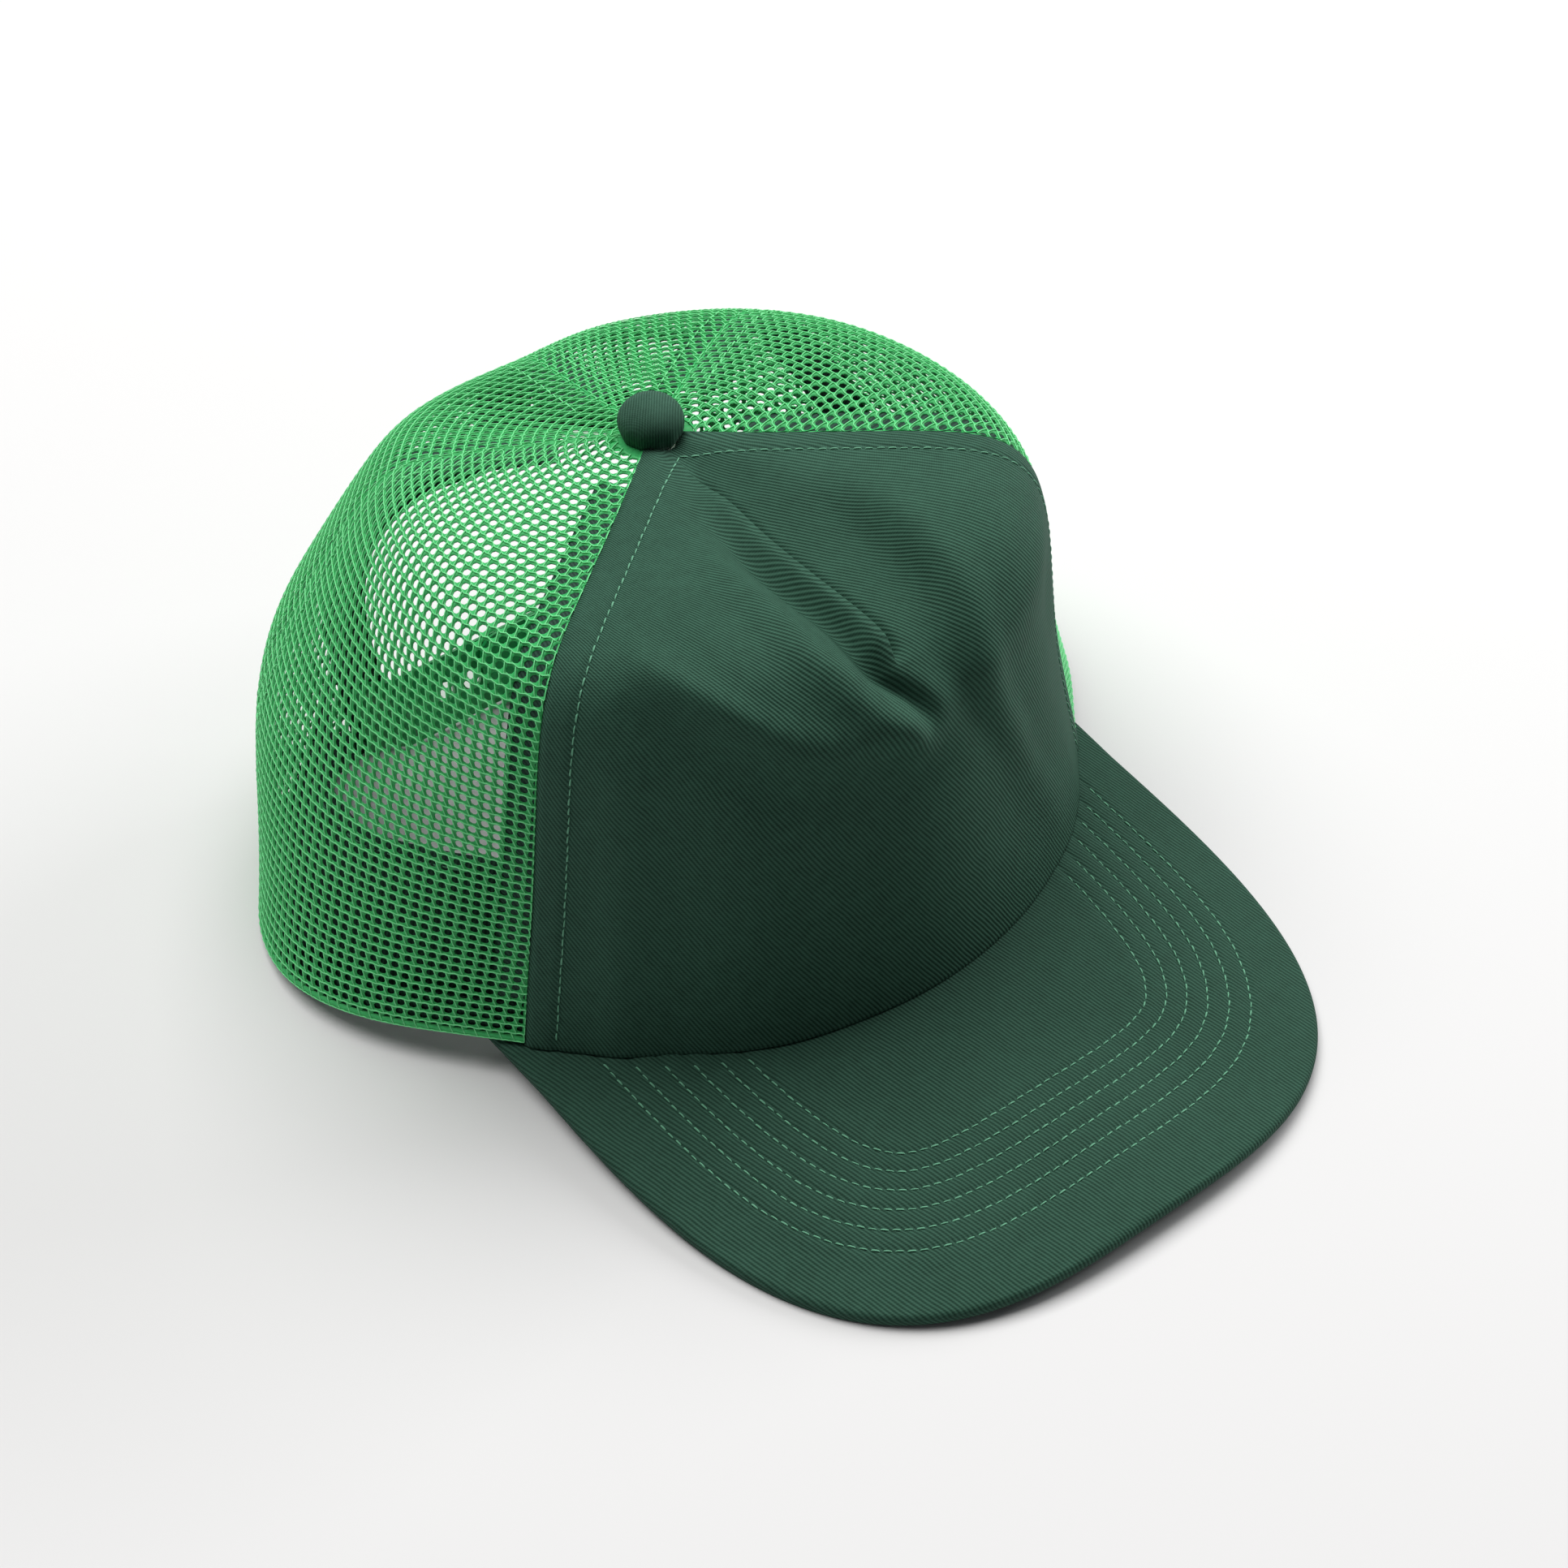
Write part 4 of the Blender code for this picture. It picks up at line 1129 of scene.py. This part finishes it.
def finish_node(node, material, bevel=0.0):
    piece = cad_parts[node]
    piece.data.materials.clear()
    piece.data.materials.append(material)
    if bevel:
        edge = piece.modifiers.new("edge", "BEVEL")
        edge.width = bevel * MM
        edge.segments = 2
        edge.limit_method = "ANGLE"
        edge.angle_limit = radians(50)


for node in ("strap_stud_flap", "strap_hole_flap", "strap_anchor_left", "strap_anchor_right"):
    finish_node(node, strap_plastic, bevel=0.2)
for node in ("button_core", "button_prong", "button_washer"):
    finish_node(node, steel)
finish_node("brim_board", board_plastic)


# ---- stage, lights and camera

def mixed(nodes, links, share, first, second):
    """Mix of two shaders, all second where the share is 1."""
    mix = nodes.new("ShaderNodeMixShader")
    links.new(share, mix.inputs["Fac"])
    links.new(first, mix.inputs[1])
    links.new(second, mix.inputs[2])
    return mix.outputs[0]


def floor():
    """Pale floor that fades into the backdrop, and doesn't hide the cap from below."""
    mesh = bpy.data.meshes.new("floor")
    corners = [(x * FLOOR_REACH, y * FLOOR_REACH, 0) for x, y in ((-1, -1), (1, -1), (1, 1), (-1, 1))]
    mesh.from_pydata(corners, [], [(0, 1, 2, 3)])
    piece = placed("floor", mesh)
    material, nodes, links, shader = new_material("floor_paper")
    set_inputs(shader, {"Base Color": (0.74, 0.74, 0.745, 1.0), "Roughness": 0.9})
    set_inputs(shader, {"Specular IOR Level": 0.0})
    distance = nodes.new("ShaderNodeVectorMath")
    distance.operation = "LENGTH"
    links.new(nodes.new("ShaderNodeTexCoord").outputs["Object"], distance.inputs[0])
    fade = nodes.new("ShaderNodeMapRange")
    fade.interpolation_type = "SMOOTHSTEP"
    set_inputs(fade, {"From Min": FLOOR_FADE[0], "From Max": FLOOR_FADE[1]})
    links.new(distance.outputs["Value"], fade.inputs["Value"])
    below = nodes.new("ShaderNodeNewGeometry").outputs["Backfacing"]
    clear = math_node(nodes, links, "MAXIMUM", fade.outputs["Result"], below)
    see_through = nodes.new("ShaderNodeBsdfTransparent").outputs[0]
    surface = mixed(nodes, links, clear, shader.outputs[0], see_through)
    links.new(surface, nodes["Material Output"].inputs["Surface"])
    mesh.materials.append(material)


def backdrop():
    """Pale backdrop to look at, and a dim sky for the light."""
    world = bpy.data.worlds.new("studio")
    world.use_nodes = True
    nodes, links = world.node_tree.nodes, world.node_tree.links
    sky = nodes["Background"]
    set_inputs(sky, {"Color": (0.95, 0.97, 1.0, 1.0), "Strength": 0.08})
    paper = nodes.new("ShaderNodeBackground")
    set_inputs(paper, {"Color": (0.90, 0.90, 0.90, 1.0)})
    seen = nodes.new("ShaderNodeLightPath").outputs["Is Camera Ray"]
    surface = mixed(nodes, links, seen, sky.outputs[0], paper.outputs[0])
    links.new(surface, nodes["World Output"].inputs["Surface"])
    bpy.context.scene.world = world


def softbox(name, place, size, power, colour):
    """Rectangular softbox that faces the cap."""
    light = bpy.data.lights.new(name, "AREA")
    light.shape = "RECTANGLE"
    light.size, light.size_y = size
    light.energy = power
    light.color = colour
    item = placed(name, light)
    item.location = place
    item.rotation_mode = "QUATERNION"
    item.rotation_quaternion = (Vector(CAMERA_TARGET) - Vector(place)).to_track_quat("-Z", "Y")


def lighting():
    backdrop()
    softbox("back_softbox", (0.15, 0.85, 2.35), size=(3.4, 1.8), power=93.0, colour=(1.0, 0.99, 0.975))
    softbox("right_softbox", (1.6, -0.2, 0.8), size=(1.0, 0.7), power=16.0, colour=(1.0, 1.0, 1.0))
    bpy.context.scene.view_settings.view_transform = "Standard"


def camera():
    azimuth, elevation = radians(CAMERA_AZIMUTH), radians(CAMERA_ELEVATION)
    back = Vector((sin(azimuth) * cos(elevation), -cos(azimuth) * cos(elevation), sin(elevation)))
    lens = bpy.data.cameras.new("camera")
    lens.lens = CAMERA_LENS
    lens.sensor_width = 36.0
    lens.clip_start = 0.01
    item = placed("camera", lens)
    item.location = Vector(CAMERA_TARGET) + back * CAMERA_DISTANCE
    item.rotation_mode = "QUATERNION"
    facing = (-back).to_track_quat("-Z", "Y")
    item.rotation_quaternion = Matrix.Rotation(radians(CAMERA_ROLL), 3, back).to_quaternion() @ facing
    bpy.context.scene.camera = item


floor()
lighting()
camera()
